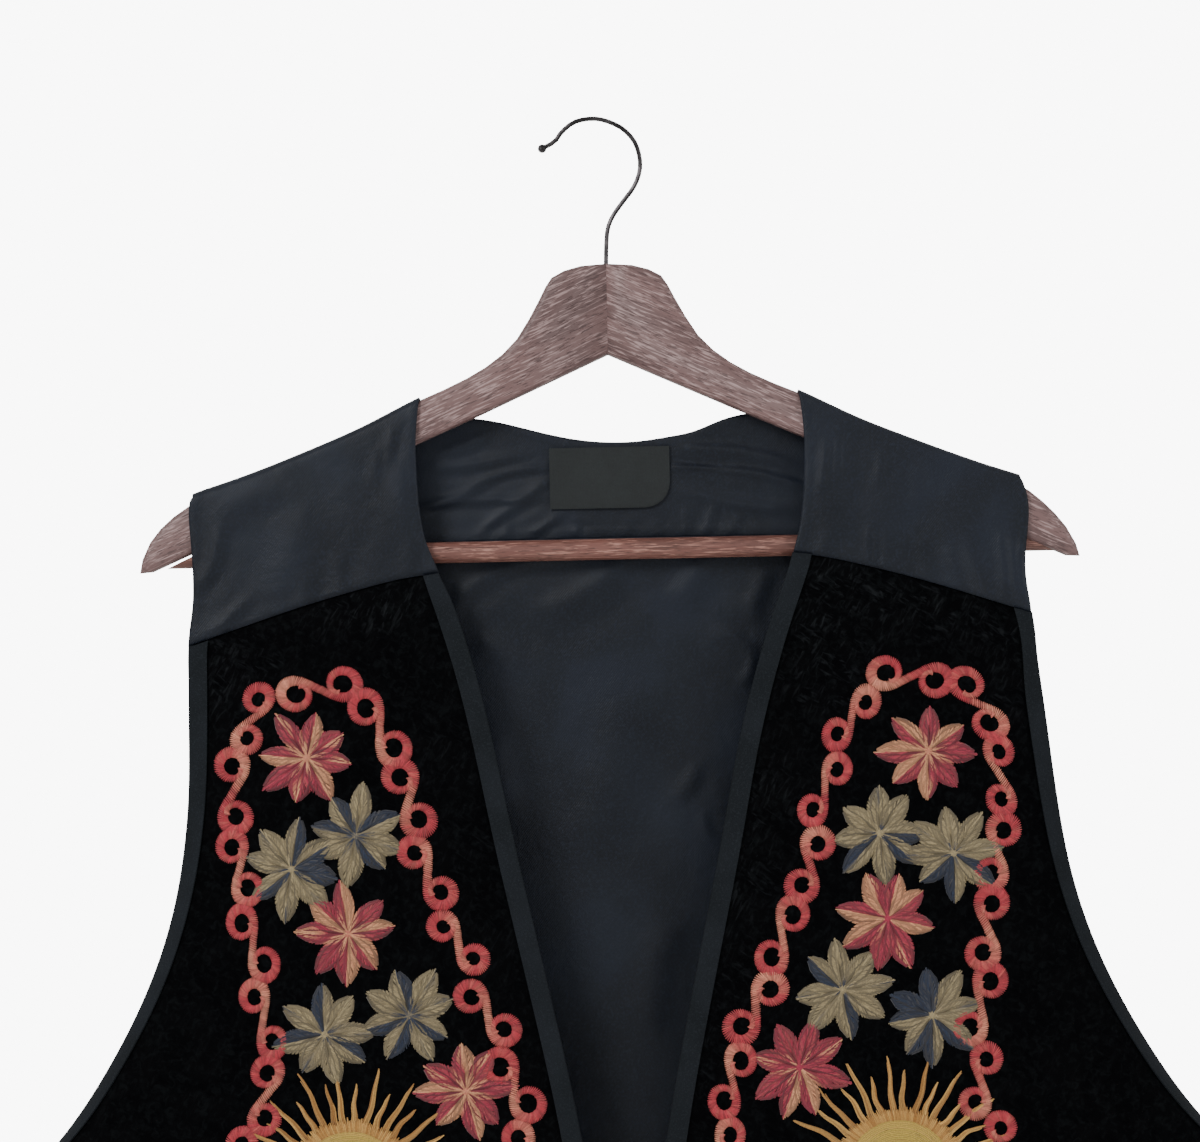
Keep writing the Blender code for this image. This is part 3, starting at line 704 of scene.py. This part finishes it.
# Each as x, z, how far it goes right and up there, and its reach in x and z
yokeShifts = [
    (-193, -172, -2.5, 0, 25, 22),
    (-193, -205, -0.7, 0, 25, 30),
    (-193, -243, -2.0, 0, 25, 14),
    (-80, -212, 1.5, 0, 9, 12),
    (-197, -246, -0.4, -0.6, 4, 4),
    (202, -188, 2.3, 0, 25, 17),
    (202, -237, 1.6, 0, 25, 12),
    (91, -208, -0.6, 0, 9, 12),
    (-26, -151, 0, 1.9, 38, 13),
    (47, -150, 0, -1.5, 12, 12),
]
frontShifts = [
    (-78, -250, 1.8, 0, 40, 38),
    (-75, -211, -2.2, 0, 7, 12),
    (-195, -248, -0.8, 0, 25, 12),
    (88, -204, 4.6, 0, 40, 26),
    (204, -242, 0.9, 0, 25, 12),
    (-199.5, -247, 0.3, 3.0, 4, 5),
    (204.5, -240, -0.5, 1.8, 4, 5),
    (196, -250, 2.0, 0, 3.4, 22),
    (-277, -496, 1.4, 0, 9, 9),
    (293, -496, -1.4, 0, 9, 9),
]
tapeShifts = [
    (-277, -497, 1.8, 0, 4, 6),
    (293, -497, -1.8, 0, 4, 6),
    (-276, -733, 1.2, 0, 4, 12),
    (290, -733, -1.2, 0, 4, 12),
]
armShifts = [(-212, -195, -1.8, 0.8, 26, 30), (214, -195, -1.8, -0.6, 22, 30)]


# A turned hem stands a little proud, from its rounded edge in to where it is sewn down. Cloth
# that rests on the wood is smooth behind the ridge.
hemLook = {"width": 4.6, "rounding": 1.2, "step": 1.4, "rise": 0.22}
ridgeLook = {"back": 2.0, "blend": 5.0}


def clothPiece(
    name,
    node,
    levels,
    creases,
    finishes,
    hemmed=False,
    onWood=False,
    shifts=(),
    slanted=(),
    lapped=False,
):
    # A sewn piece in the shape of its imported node, smoothed and creased. Slanted names the
    # bands of heights whose seams are cut askew, and a lapped piece goes up under its yoke.
    skin = joinedCopy(node)
    creaseLayer = skin.edges.layers.float.new("crease_edge")
    rim = rimOf(skin)
    for edge in rim:
        edge[creaseLayer] = 1.0
    piece = newPiece(name, copyOf(skin, name), finishes)
    finer = piece.modifiers.new("finer", "SUBSURF")
    finer.levels = finer.render_levels = levels
    mesh = bakedMesh(piece, name)
    piece.modifiers.clear()
    piece.data = mesh
    points = readPoints(mesh)
    x, y, z = points.T
    push = creaseHeight(x, z, creases)
    if onWood:
        push = push * smooth((-y - ridgeLook["back"]) / ridgeLook["blend"])
    if hemmed:
        flat = np.empty(len(points) * 3)
        mesh.vertex_normals.foreach_get("vector", flat)
        facing = flat.reshape(-1, 3)[:, 1]
        near = distances(points, rimTree(rim))
        fold = smooth(near / hemLook["rounding"])
        fold *= smooth((hemLook["width"] - near) / hemLook["step"])
        outward = np.sign(facing) * smooth(np.abs(facing) * 2)
        points[:, 1] += outward * fold * hemLook["rise"]
    points[:, 1] -= push
    shiftEdges(points, shifts)
    for band in slanted:
        slantSeam(points, seamEdges(rim, band))
    if lapped:
        lapSeam(points, rim)
    skin.free()
    writePoints(mesh, points)
    mesh.shade_smooth()
    mesh.set_sharp_from_angle(angle=math.radians(50))
    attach(piece, "root")
    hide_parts(node)
    return piece


# Where the pile is crushed and painted lighter grey as its sheen, as x, z, radius and strength, and
# how much it is everywhere
crushSheenAllOver = 0.12
crushSheenPatches = {
    "left": [
        (-176, -254, 18, 0.8),
        (-160, -262, 16, 0.5),
        (-112, -228, 13, 0.9),
        (-98, -226, 14, 0.8),
        (-132, -232, 10, 0.5),
        (-188, -275, 12, 0.6),
        (-160, -282, 12, 0.3),
        (-78, -300, 16, 0.4),
        (-66, -340, 16, 0.35),
        (-52, -390, 15, 0.3),
    ],
    "right": [
        (108, -218, 14, 0.9),
        (126, -226, 14, 0.8),
        (150, -232, 14, 0.9),
        (172, -240, 13, 0.8),
        (192, -252, 12, 0.8),
        (100, -240, 16, 0.8),
        (118, -252, 16, 0.7),
        (98, -264, 15, 0.8),
        (112, -276, 12, 0.5),
        (186, -276, 14, 0.6),
        (72, -320, 22, 0.7),
        (60, -360, 22, 0.7),
        (50, -400, 20, 0.6),
        (42, -440, 18, 0.5),
    ],
}


# A mask of crushed pile, which the velvet paints lighter grey as sheen
def paintCrushSheen(mesh, patches):
    points = readPoints(mesh)
    crushSheenMask = np.full(len(points), crushSheenAllOver)
    for x, z, radius, strength in patches:
        reach = ((points[:, 0] - x) ** 2 + (points[:, 2] - z) ** 2) / radius**2
        crushSheenMask += strength * np.exp(-reach)
    layer = mesh.attributes.new("crushSheenMask", "FLOAT", "POINT")
    layer.data.foreach_set("value", np.clip(crushSheenMask, 0, 1))


def lineInside(mesh, slot):
    # The side of a front that faces the back is its satin lining.
    for face in mesh.polygons:
        face.material_index = slot if face.normal.y > 0.1 else 0


class Ground:
    # The face of a velvet front, on which thread lies.
    def __init__(self, piece):
        mesh = piece.data
        spots = [vert.co.copy() for vert in mesh.vertices]
        self.tree = BVHTree.FromPolygons(spots, [tuple(face.vertices) for face in mesh.polygons])

    def lay(self, x, z, lift):
        start = Vector((x * mm, -1, z * mm))
        spot, normal, _, _ = self.tree.ray_cast(start, Vector((0, 1, 0)))
        return None if spot is None else spot + normal * (lift * mm)


def blend(first, second, share):
    share = min(max(share, 0), 1)
    return tuple(a + (b - a) * share for a, b in zip(first, second))


def darker(tone, share):
    return (*[part * share for part in tone[:3]], 1.0)


def sew(name, ground, stitches):
    # Each stitch is its places (x, z, lift), its thickness and its colour. It is laid as a
    # thin cord of four sides, finer at both ends.
    line = bpy.data.curves.new(name, "CURVE")
    line.dimensions = "3D"
    line.bevel_depth = mm
    line.bevel_resolution = 0
    tones = []
    for places, thickness, tone in stitches:
        laid = [ground.lay(*place) for place in places]
        if None in laid:
            continue
        spline = line.splines.new("POLY")
        spline.points.add(len(laid) - 1)
        spline.use_smooth = True
        for number, (point, spot) in enumerate(zip(spline.points, laid)):
            point.co = (*spot, 1)
            atEnd = number in (0, len(laid) - 1)
            point.radius = thickness / 2 * (0.6 if atEnd else 1.0)
        tones += [tone] * (4 * len(laid))
    cords = bpy.data.objects.new(name, line)
    bpy.context.scene.collection.objects.link(cords)
    mesh = bakedMesh(cords, name)
    bpy.data.objects.remove(cords)
    colours = mesh.color_attributes.new("threadTone", "FLOAT_COLOR", "POINT")
    colours.data.foreach_set("color", np.array(tones).ravel())
    mesh.shade_smooth()
    piece = newPiece(name, mesh, [thread])
    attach(piece, "root")
    return piece


flowerLook = {
    "petals": 8,
    "petalLength": 24.5,
    "petalWidth": 11.4,
    "stitchesPerHalf": 22,
    "threadWidth": 0.78,
    "rise": 0.8,
    "paddingAcross": (-0.7, -0.25, 0.25, 0.7),
    "paddingAlong": (0.06, 0.26, 0.5, 0.74, 0.92),
    "paddingWidth": 2.8,
    "paddingShade": 0.5,
    "heartStitches": 7,
    "heartWidth": 0.8,
}

# The two tones of each kind, how often half a petal stays plain, and how soft their border is
roseSilk = {
    "tones": (linear("#8f2439"), linear("#bd8560")),
    "plain": 0.75,
    "softness": 0.22,
}
blueSilk = {
    "tones": (linear("#887a5a"), linear("#132136")),
    "plain": 0.4,
    "softness": 0.4,
}


# Where the second tone lies along a half of a petal, from and to: nowhere, at the tip, at the
# base or all over
toneStretches = ((2.0, 2.0), (0.5, 2.0), (-1.0, 0.45), (-1.0, 2.0))


def petalStitches(centre, heading, silk, heart):
    look = flowerLook
    length = look["petalLength"] * dice.uniform(0.86, 1.08)
    width = look["petalWidth"] * dice.uniform(0.88, 1.1)
    bend = dice.uniform(-1.8, 1.8)
    plainHalf = dice.choice((-1, 1))
    stretches = {half: dice.choice(toneStretches[1:]) for half in (-1, 1)}
    if dice.random() < silk["plain"]:
        stretches[plainHalf] = toneStretches[0]
    stitches = []

    def edgeAt(along):
        return width / 2 * math.sin(math.pi * min(along, 1.0) ** 1.12) ** 0.95

    def placeAt(along, across, lift):
        # along goes from the flower's centre to the tip, across from the petal's middle line
        across = across + bend * along * along
        reach = along * length
        x = centre[0] + reach * math.cos(heading) - across * math.sin(heading)
        z = centre[1] + reach * math.sin(heading) + across * math.cos(heading)
        return x, z, lift

    def toneAt(half, along, spread, deep=1.0):
        start, end = stretches[half]
        share = smooth((along - start) / silk["softness"])
        share *= smooth((end - along) / silk["softness"])
        share = max(share, heart * smooth((0.42 - along) / 0.2))
        tone = blend(*silk["tones"], share + dice.uniform(-spread, spread))
        return darker(tone, deep * dice.uniform(0.58, 1.14))

    for offset in look["paddingAcross"]:
        padding = []
        for along in look["paddingAlong"]:
            padding.append(placeAt(along, offset * edgeAt(along), 0.15))
        tone = toneAt(1 if offset > 0 else -1, 0.5, 0.1, deep=look["paddingShade"])
        stitches.append((padding, look["paddingWidth"], tone))
    for half in (-1, 1):
        for number in range(look["stitchesPerHalf"]):
            share = number / (look["stitchesPerHalf"] - 1)
            start = 0.02 + 0.56 * share
            end = min(0.2 + 0.79 * share**0.9 + dice.uniform(-0.02, 0.02), 0.99)
            edge = half * (edgeAt(end) - 0.1)
            lifted = look["rise"] * dice.uniform(0.75, 1.1)
            places = []
            for part in (0, 0.28, 0.72, 1):
                along = start + (end - start) * part
                across = edge * part - half * 0.25 * (1 - part)
                lift = 0.25 + lifted * (4 * part * (1 - part)) ** 0.6
                places.append(placeAt(along, across, lift))
            stitches.append((places, look["threadWidth"], toneAt(half, (start + end) / 2, 0.16)))
    return stitches


def flowerStitches(centre, silk, turn):
    look = flowerLook
    stitches = []
    heart = dice.choice((0.0, 0.9))
    for number in range(look["petals"]):
        heading = turn + math.tau * (number + dice.uniform(-0.16, 0.16)) / look["petals"]
        stitches += petalStitches(centre, heading, silk, heart)
    for number in range(look["heartStitches"]):
        heading = turn + math.pi * number / look["heartStitches"]
        reach = dice.uniform(2.2, 3.6)
        places = []
        for share in (-1, -0.4, 0.4, 1):
            x = centre[0] + reach * share * math.cos(heading)
            z = centre[1] + reach * share * math.sin(heading)
            places.append((x, z, 1.25 - 0.7 * abs(share)))
        tone = blend(*silk["tones"], heart * dice.uniform(0.4, 1.0))
        stitches.append((places, look["heartWidth"], tone))
    return stitches


scrollLook = {
    "stem": 3.0,
    "bending": 12.0,
    "ringRadius": 6.0,
    "ringTurn": 4.1,
    "curlLength": 7.5,
    "curlRadius": 2.8,
    "widths": (3.8, 4.9, 2.6),
    "pitch": 35.6,
    "spacing": 0.82,
    "threadWidth": 0.9,
    "rise": 0.85,
    "lean": (-32.0, -8.0),
    "stemRange": (0.6, 1.4),
    "ringRange": (0.86, 1.1),
    "sizeRange": (1.0, 1.08),
    "squashRange": (0.82, 1.02),
    "palePlace": (-16, 16),
    "paleReach": (8, 15),
    "steps": 240,
}
scrollTones = (linear("#9e2b34"), linear("#c07a62"))


def scrollLine(stem, radius):
    # One S-shaped scroll about its middle, as places with their heading, curve and distance
    # from the middle. A near-straight stem bends into a ring at each end, which closes on it.
    look = scrollLook
    ringEnd = stem + look["bending"] + look["ringTurn"] * radius
    step = (ringEnd + look["curlLength"]) / look["steps"]
    x = z = heading = 0.0
    half = [(x, z, heading, 0.0, 0.0)]
    for number in range(look["steps"]):
        gone = (number + 0.5) * step
        curve = smooth((gone - stem) / look["bending"]) / radius
        tighter = 1 / look["curlRadius"] - 1 / radius
        curve += smooth((gone - ringEnd) / look["curlLength"]) * tighter
        heading += curve * step
        x += math.cos(heading) * step
        z += math.sin(heading) * step
        half.append((x, z, heading, curve, gone))
    other = [(-a, -b, c, d, -e) for a, b, c, d, e in half[:0:-1]]
    return other + half, step


def scrollStitches(place, heading, hand):
    # hand is 1 or -1, for the two ways in which a scroll can turn.
    look = scrollLook
    stem = look["stem"] * dice.uniform(*look["stemRange"])
    line, step = scrollLine(stem, look["ringRadius"] * dice.uniform(*look["ringRange"]))
    reach = line[-1][4]
    ringStart = stem + look["bending"]
    thin, full, tip = look["widths"]
    curl = [spot for spot in line if spot[4] > ringStart]
    slope = math.atan2(sum(spot[1] for spot in curl), sum(spot[0] for spot in curl))
    turn = heading - hand * (slope + math.radians(dice.uniform(*look["lean"])))
    size = dice.uniform(*look["sizeRange"])
    squash = dice.uniform(*look["squashRange"])
    pale = dice.uniform(*look["palePlace"])
    paleReach = dice.uniform(*look["paleReach"])
    stitches = []
    ahead = 0.0
    drift = 0.0
    for x, z, heading, curve, gone in line:
        ahead -= step
        if ahead > 0:
            continue
        far = abs(gone)
        width = thin + (full - thin) * smooth(far / ringStart)
        width += (tip - full) * smooth((far - ringStart - 9) / (reach - ringStart - 9))
        ahead = look["spacing"] / (1 + abs(curve) * width / 2)
        drift = drift * 0.7 + dice.uniform(-0.12, 0.12)
        share = 0.9 * math.exp(-(((gone - pale) / paleReach) ** 2)) + drift
        tone = blend(*scrollTones, share + 0.45 * smooth((far - reach + 9) / 7))
        tone = darker(tone, dice.uniform(0.62, 1.14))
        over = 0.45 * smooth((far - ringStart - 12) / 10)
        lifted = look["rise"] * dice.uniform(0.8, 1.1)
        places = []
        for side in (-1, -0.5, 0.5, 1):
            out = side * (width / 2 + dice.uniform(-0.12, 0.12))
            slant = side * 0.7
            localX = (x - math.sin(heading) * out + math.cos(heading) * slant) * size
            localZ = (z + math.cos(heading) * out + math.sin(heading) * slant) * size
            localZ *= hand * squash
            lift = 0.15 + lifted * (1 - side * side) ** 0.6 + over * (1 - abs(side))
            turnedX = localX * math.cos(turn) - localZ * math.sin(turn)
            turnedZ = localX * math.sin(turn) + localZ * math.cos(turn)
            places.append((place[0] + turnedX, place[1] + turnedZ, lift))
        stitches.append((places, look["threadWidth"], tone))
    return stitches


def evenPlaces(route, pitch):
    # Places and headings at even steps along a smooth closed route.
    count = len(route)
    fine = []
    for k in range(count):
        a, b, c, d = (np.array(route[(k + n) % count], float) for n in (-1, 0, 1, 2))
        for t in np.linspace(0, 1, 16, endpoint=False):
            bend = 2 * a - 5 * b + 4 * c - d
            twist = 3 * b - a - 3 * c + d
            fine.append((2 * b + (c - a) * t + bend * t**2 + twist * t**3) / 2)
    fine.append(fine[0])
    fine = np.array(fine)
    steps = np.hypot(*np.diff(fine, axis=0).T)
    lengths = np.concatenate([[0], np.cumsum(steps)])
    units = round(lengths[-1] / pitch)
    found = []
    for k in range(units):
        at = lengths[-1] * k / units
        x, ahead = (np.interp((at + d) % lengths[-1], lengths, fine[:, 0]) for d in (0, 3))
        z, above = (np.interp((at + d) % lengths[-1], lengths, fine[:, 1]) for d in (0, 3))
        found.append(((x, z), math.atan2(above - z, ahead - x)))
    return found


# The border's route on the left front, which is turned over for the right one, and the
# flowers and the sun inside it
borderRoute = [
    (-163, -457),
    (-167, -391),
    (-175, -334),
    (-172, -290),
    (-149, -268),
    (-117, -272),
    (-100, -299),
    (-91, -326),
    (-85, -354),
    (-73, -383),
    (-62, -410),
    (-53, -436),
    (-44, -465),
    (-38, -520),
    (-40, -585),
    (-46, -640),
    (-74, -682),
    (-124, -694),
    (-174, -678),
    (-196, -630),
    (-194, -570),
    (-184, -510),
]
motifs = {
    "left": {
        "roses": [(-141, -299), (-123, -382), (-69, -457), (-88, -590), (-150, -628)],
        "blues": [
            (-118.5, -336),
            (-149, -351),
            (-135, -429),
            (-95, -421),
            (-152, -580),
            (-98, -646),
        ],
        "sun": (-124, -500),
    },
    "right": {
        "roses": [(152, -302), (131, -380), (88, -449), (95, -588), (158, -626)],
        "blues": [(128, -340), (162.5, -350), (109, -413), (151, -426), (160, -578), (106, -644)],
        "sun": (134, -500),
    },
}
sunLook = {
    "discRadius": 25.0,
    "rimRadius": 31.0,
    "rayReach": (57.0, 49.0),
    "rays": 38,
    "threadWidth": 1.0,
    "ringSpacing": 0.82,
    "rimStitches": 230,
}
sunTones = (linear("#8f6128"), linear("#bd9450"), linear("#a38c3a"))


def sunStitches(centre):
    look = sunLook
    stitches = []

    def at(radius, angle, lift):
        x = centre[0] + radius * math.cos(angle)
        return x, centre[1] + radius * math.sin(angle), lift

    radius = 1.2
    while radius < look["discRadius"]:
        parts = max(10, round(math.tau * radius / 2.6))
        tone = blend(sunTones[2], sunTones[1], dice.uniform(0.0, 0.5))
        lift = 1.1 - 0.5 * (radius / look["discRadius"]) ** 3
        begin = dice.uniform(0, math.tau)
        places = [at(radius, begin + math.tau * k / parts, lift) for k in range(parts + 1)]
        stitches.append((places, look["threadWidth"], tone))
        radius += look["ringSpacing"]
    for k in range(look["rimStitches"]):
        angle = math.tau * k / look["rimStitches"]
        inner, outer = look["discRadius"] - 1, look["rimRadius"] + dice.uniform(-1.2, 0.8)
        places = [
            at(inner + (outer - inner) * share, angle + 0.02 * share, 0.1 + 1.1 * lift)
            for share, lift in ((0, 0), (0.3, 1), (0.7, 0.9), (1, 0))
        ]
        tone = blend(sunTones[0], sunTones[1], dice.uniform(0.0, 0.8))
        stitches.append((places, look["threadWidth"], tone))
    for k in range(look["rays"]):
        angle = math.tau * (k + dice.uniform(-0.12, 0.12)) / look["rays"]
        reach = look["rayReach"][k % 2] + dice.uniform(-2, 2)
        sway = dice.uniform(-0.03, 0.03)
        wave = dice.uniform(0, math.tau)
        for strand in (-1, -0.35, 0.35, 1):
            start = look["rimRadius"] - 2.5
            end = reach - abs(strand) * dice.uniform(1, 5)
            places = []
            for share in np.linspace(0, 1, 9):
                radius = start + (end - start) * share
                out = strand * (0.95 * (1 - share) + 0.3) + 0.35 * math.sin(wave + share * 9)
                spread = out / radius + sway * math.sin(math.pi * share)
                lift = 0.2 + 0.8 * (1 - abs(strand) * 0.4) * (1 - share * 0.5)
                places.append(at(radius, angle + spread, lift))
            tone = blend(sunTones[0], sunTones[1], dice.uniform(-0.1, 0.9))
            tone = darker(tone, dice.uniform(0.7, 1.1))
            stitches.append((places, look["threadWidth"] * 0.85, tone))
    return stitches


def embroider(side, front):
    ground = Ground(front)
    hand = sides[side]
    route = [(x if hand < 0 else 10 - x, z) for x, z in borderRoute]
    scrolls = []
    for place, heading in evenPlaces(route, scrollLook["pitch"]):
        scrolls += scrollStitches(place, heading, -hand)
    plan = motifs[side]
    roses = []
    for centre in plan["roses"]:
        roses += flowerStitches(centre, roseSilk, dice.uniform(0, 0.7))
    blues = []
    for centre in plan["blues"]:
        blues += flowerStitches(centre, blueSilk, dice.uniform(0, 0.7))
    made = [
        sew(f"scrollBorder_{side}", ground, scrolls),
        sew(f"roseFlowers_{side}", ground, roses),
        sew(f"blueFlowers_{side}", ground, blues),
        sew(f"sunburst_{side}", ground, sunStitches(plan["sun"])),
    ]
    print("embroidered the", side, "front with", len(scrolls) + len(roses) + len(blues), "stitches")
    return made


velvet = velvetFinish()
satin = satinFinish()
tape = tapeFinish()
thread = threadFinish()

# The binding tapes, as the name of each piece and of its imported node
tapeNodes = {
    "frontTape": "front_binding",
    "armholeTape": "armhole_binding",
    "hemTape": "hem_binding",
}


def makeVest():
    for side in sides:
        creases = frontCreases[side]
        yoke = clothPiece(
            f"frontYoke_{side}",
            f"front_yoke_{side}",
            2,
            creases,
            [satin],
            hemmed=True,
            onWood=True,
            shifts=yokeShifts,
            slanted=["shoulder"],
        )
        front = clothPiece(
            f"velvetFront_{side}",
            f"front_{side}",
            3,
            creases,
            [velvet, satin],
            shifts=frontShifts,
            lapped=True,
        )
        paintCrushSheen(front.data, crushSheenPatches[side])
        lineInside(front.data, 1)
        embroider(side, front)
        for cut, node in tapeNodes.items():
            shifts = frontShifts + tapeShifts
            strip = clothPiece(f"{cut}_{side}", f"{node}_{side}", 3, creases, [tape], shifts=shifts)
    backYoke = clothPiece(
        "backYoke",
        "back_yoke",
        3,
        backCreases,
        [satin],
        hemmed=True,
        shifts=yokeShifts,
        slanted=["chest", "shoulder"],
    )
    back = clothPiece(
        "backPanel",
        "back_panel",
        3,
        backCreases,
        [satin],
        hemmed=True,
        slanted=["chest"],
    )
    print("cloth is made")


labelPiece = {
    "cutEvery": 2.2,
    "sheetSize": (0.057, 0.029),
    "forward": 0.35,
    "hemWidth": 2.6,
    "hemRounding": 0.8,
    "hemStep": 0.9,
    "hemRise": 0.25,
}


def makeLabel():
    # The bare label: cut into small faces, waved a little, and with its border turned.
    look = labelPiece
    skin = joinedCopy("label")
    low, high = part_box("label")
    for axis, normal in ((0, Vector((1, 0, 0))), (2, Vector((0, 0, 1)))):
        count = round((high[axis] - low[axis]) / (look["cutEvery"] * mm))
        for k in range(1, count):
            middle = low.copy()
            middle[axis] += (high[axis] - low[axis]) * k / count
            everything = [*skin.verts, *skin.edges, *skin.faces]
            bmesh.ops.bisect_plane(skin, geom=everything, plane_co=middle, plane_no=normal)
    tree = rimTree(rimOf(skin))
    mesh = meshOf(skin, "wovenLabel")
    points = readPoints(mesh)
    near = distances(points, tree)
    frontFace = points[:, 1] < (low[1] + high[1]) / 2 / mm
    fold = smooth(near / look["hemRounding"]) * smooth((look["hemWidth"] - near) / look["hemStep"])
    points[:, 1] -= frontFace * look["hemRise"] * fold
    wave = np.sin(points[:, 0] / 7.3 + 0.6) * 0.22 + np.sin(points[:, 2] / 5.1) * 0.12
    points[:, 1] -= creaseHeight(points[:, 0], points[:, 2], backCreases) + look["forward"] + wave
    writePoints(mesh, points)
    mesh.shade_smooth()
    mesh.set_sharp_from_angle(angle=math.radians(45))
    label = newPiece("wovenLabel", mesh, [labelFinish()])
    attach(label, "root")
    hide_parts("label")
    print("label is made")


hangerLook = {"mitre": 5.0, "reach": 0.3, "glueLine": 0.01}


def makeArm(side):
    # An arm of the hanger, with its mitre glued shut to the other one.
    skin = joinedCopy(f"hanger_arm_{side}")
    for vert in skin.verts:
        if abs(vert.co.x / mm - hangerLook["mitre"]) < hangerLook["reach"]:
            vert.co.x = (hangerLook["mitre"] + sides[side] * hangerLook["glueLine"]) * mm
    mesh = meshOf(skin, f"woodArm_{side}")
    points = readPoints(mesh)
    shiftEdges(points, armShifts)
    writePoints(mesh, points)
    mesh.shade_smooth()
    mesh.set_sharp_from_angle(angle=math.radians(40))
    grain = woodFinish(f"armWood_{side}", armLook, sides[side] * armLook["slope"])
    arm = newPiece(f"woodArm_{side}", mesh, [grain])
    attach(arm, "root")
    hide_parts(f"hanger_arm_{side}")


def dressHanger():
    for side in sides:
        makeArm(side)
    finishes = {
        "hanger_bar": woodFinish("barWood", barLook, barLook["slope"]),
        "hanger_hook": wireFinish(),
    }
    for node, finish in finishes.items():
        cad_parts[node].data.materials.clear()
        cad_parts[node].data.materials.append(finish)
    print("hanger is dressed")


makeStudio()
makeVest()
makeLabel()
dressHanger()
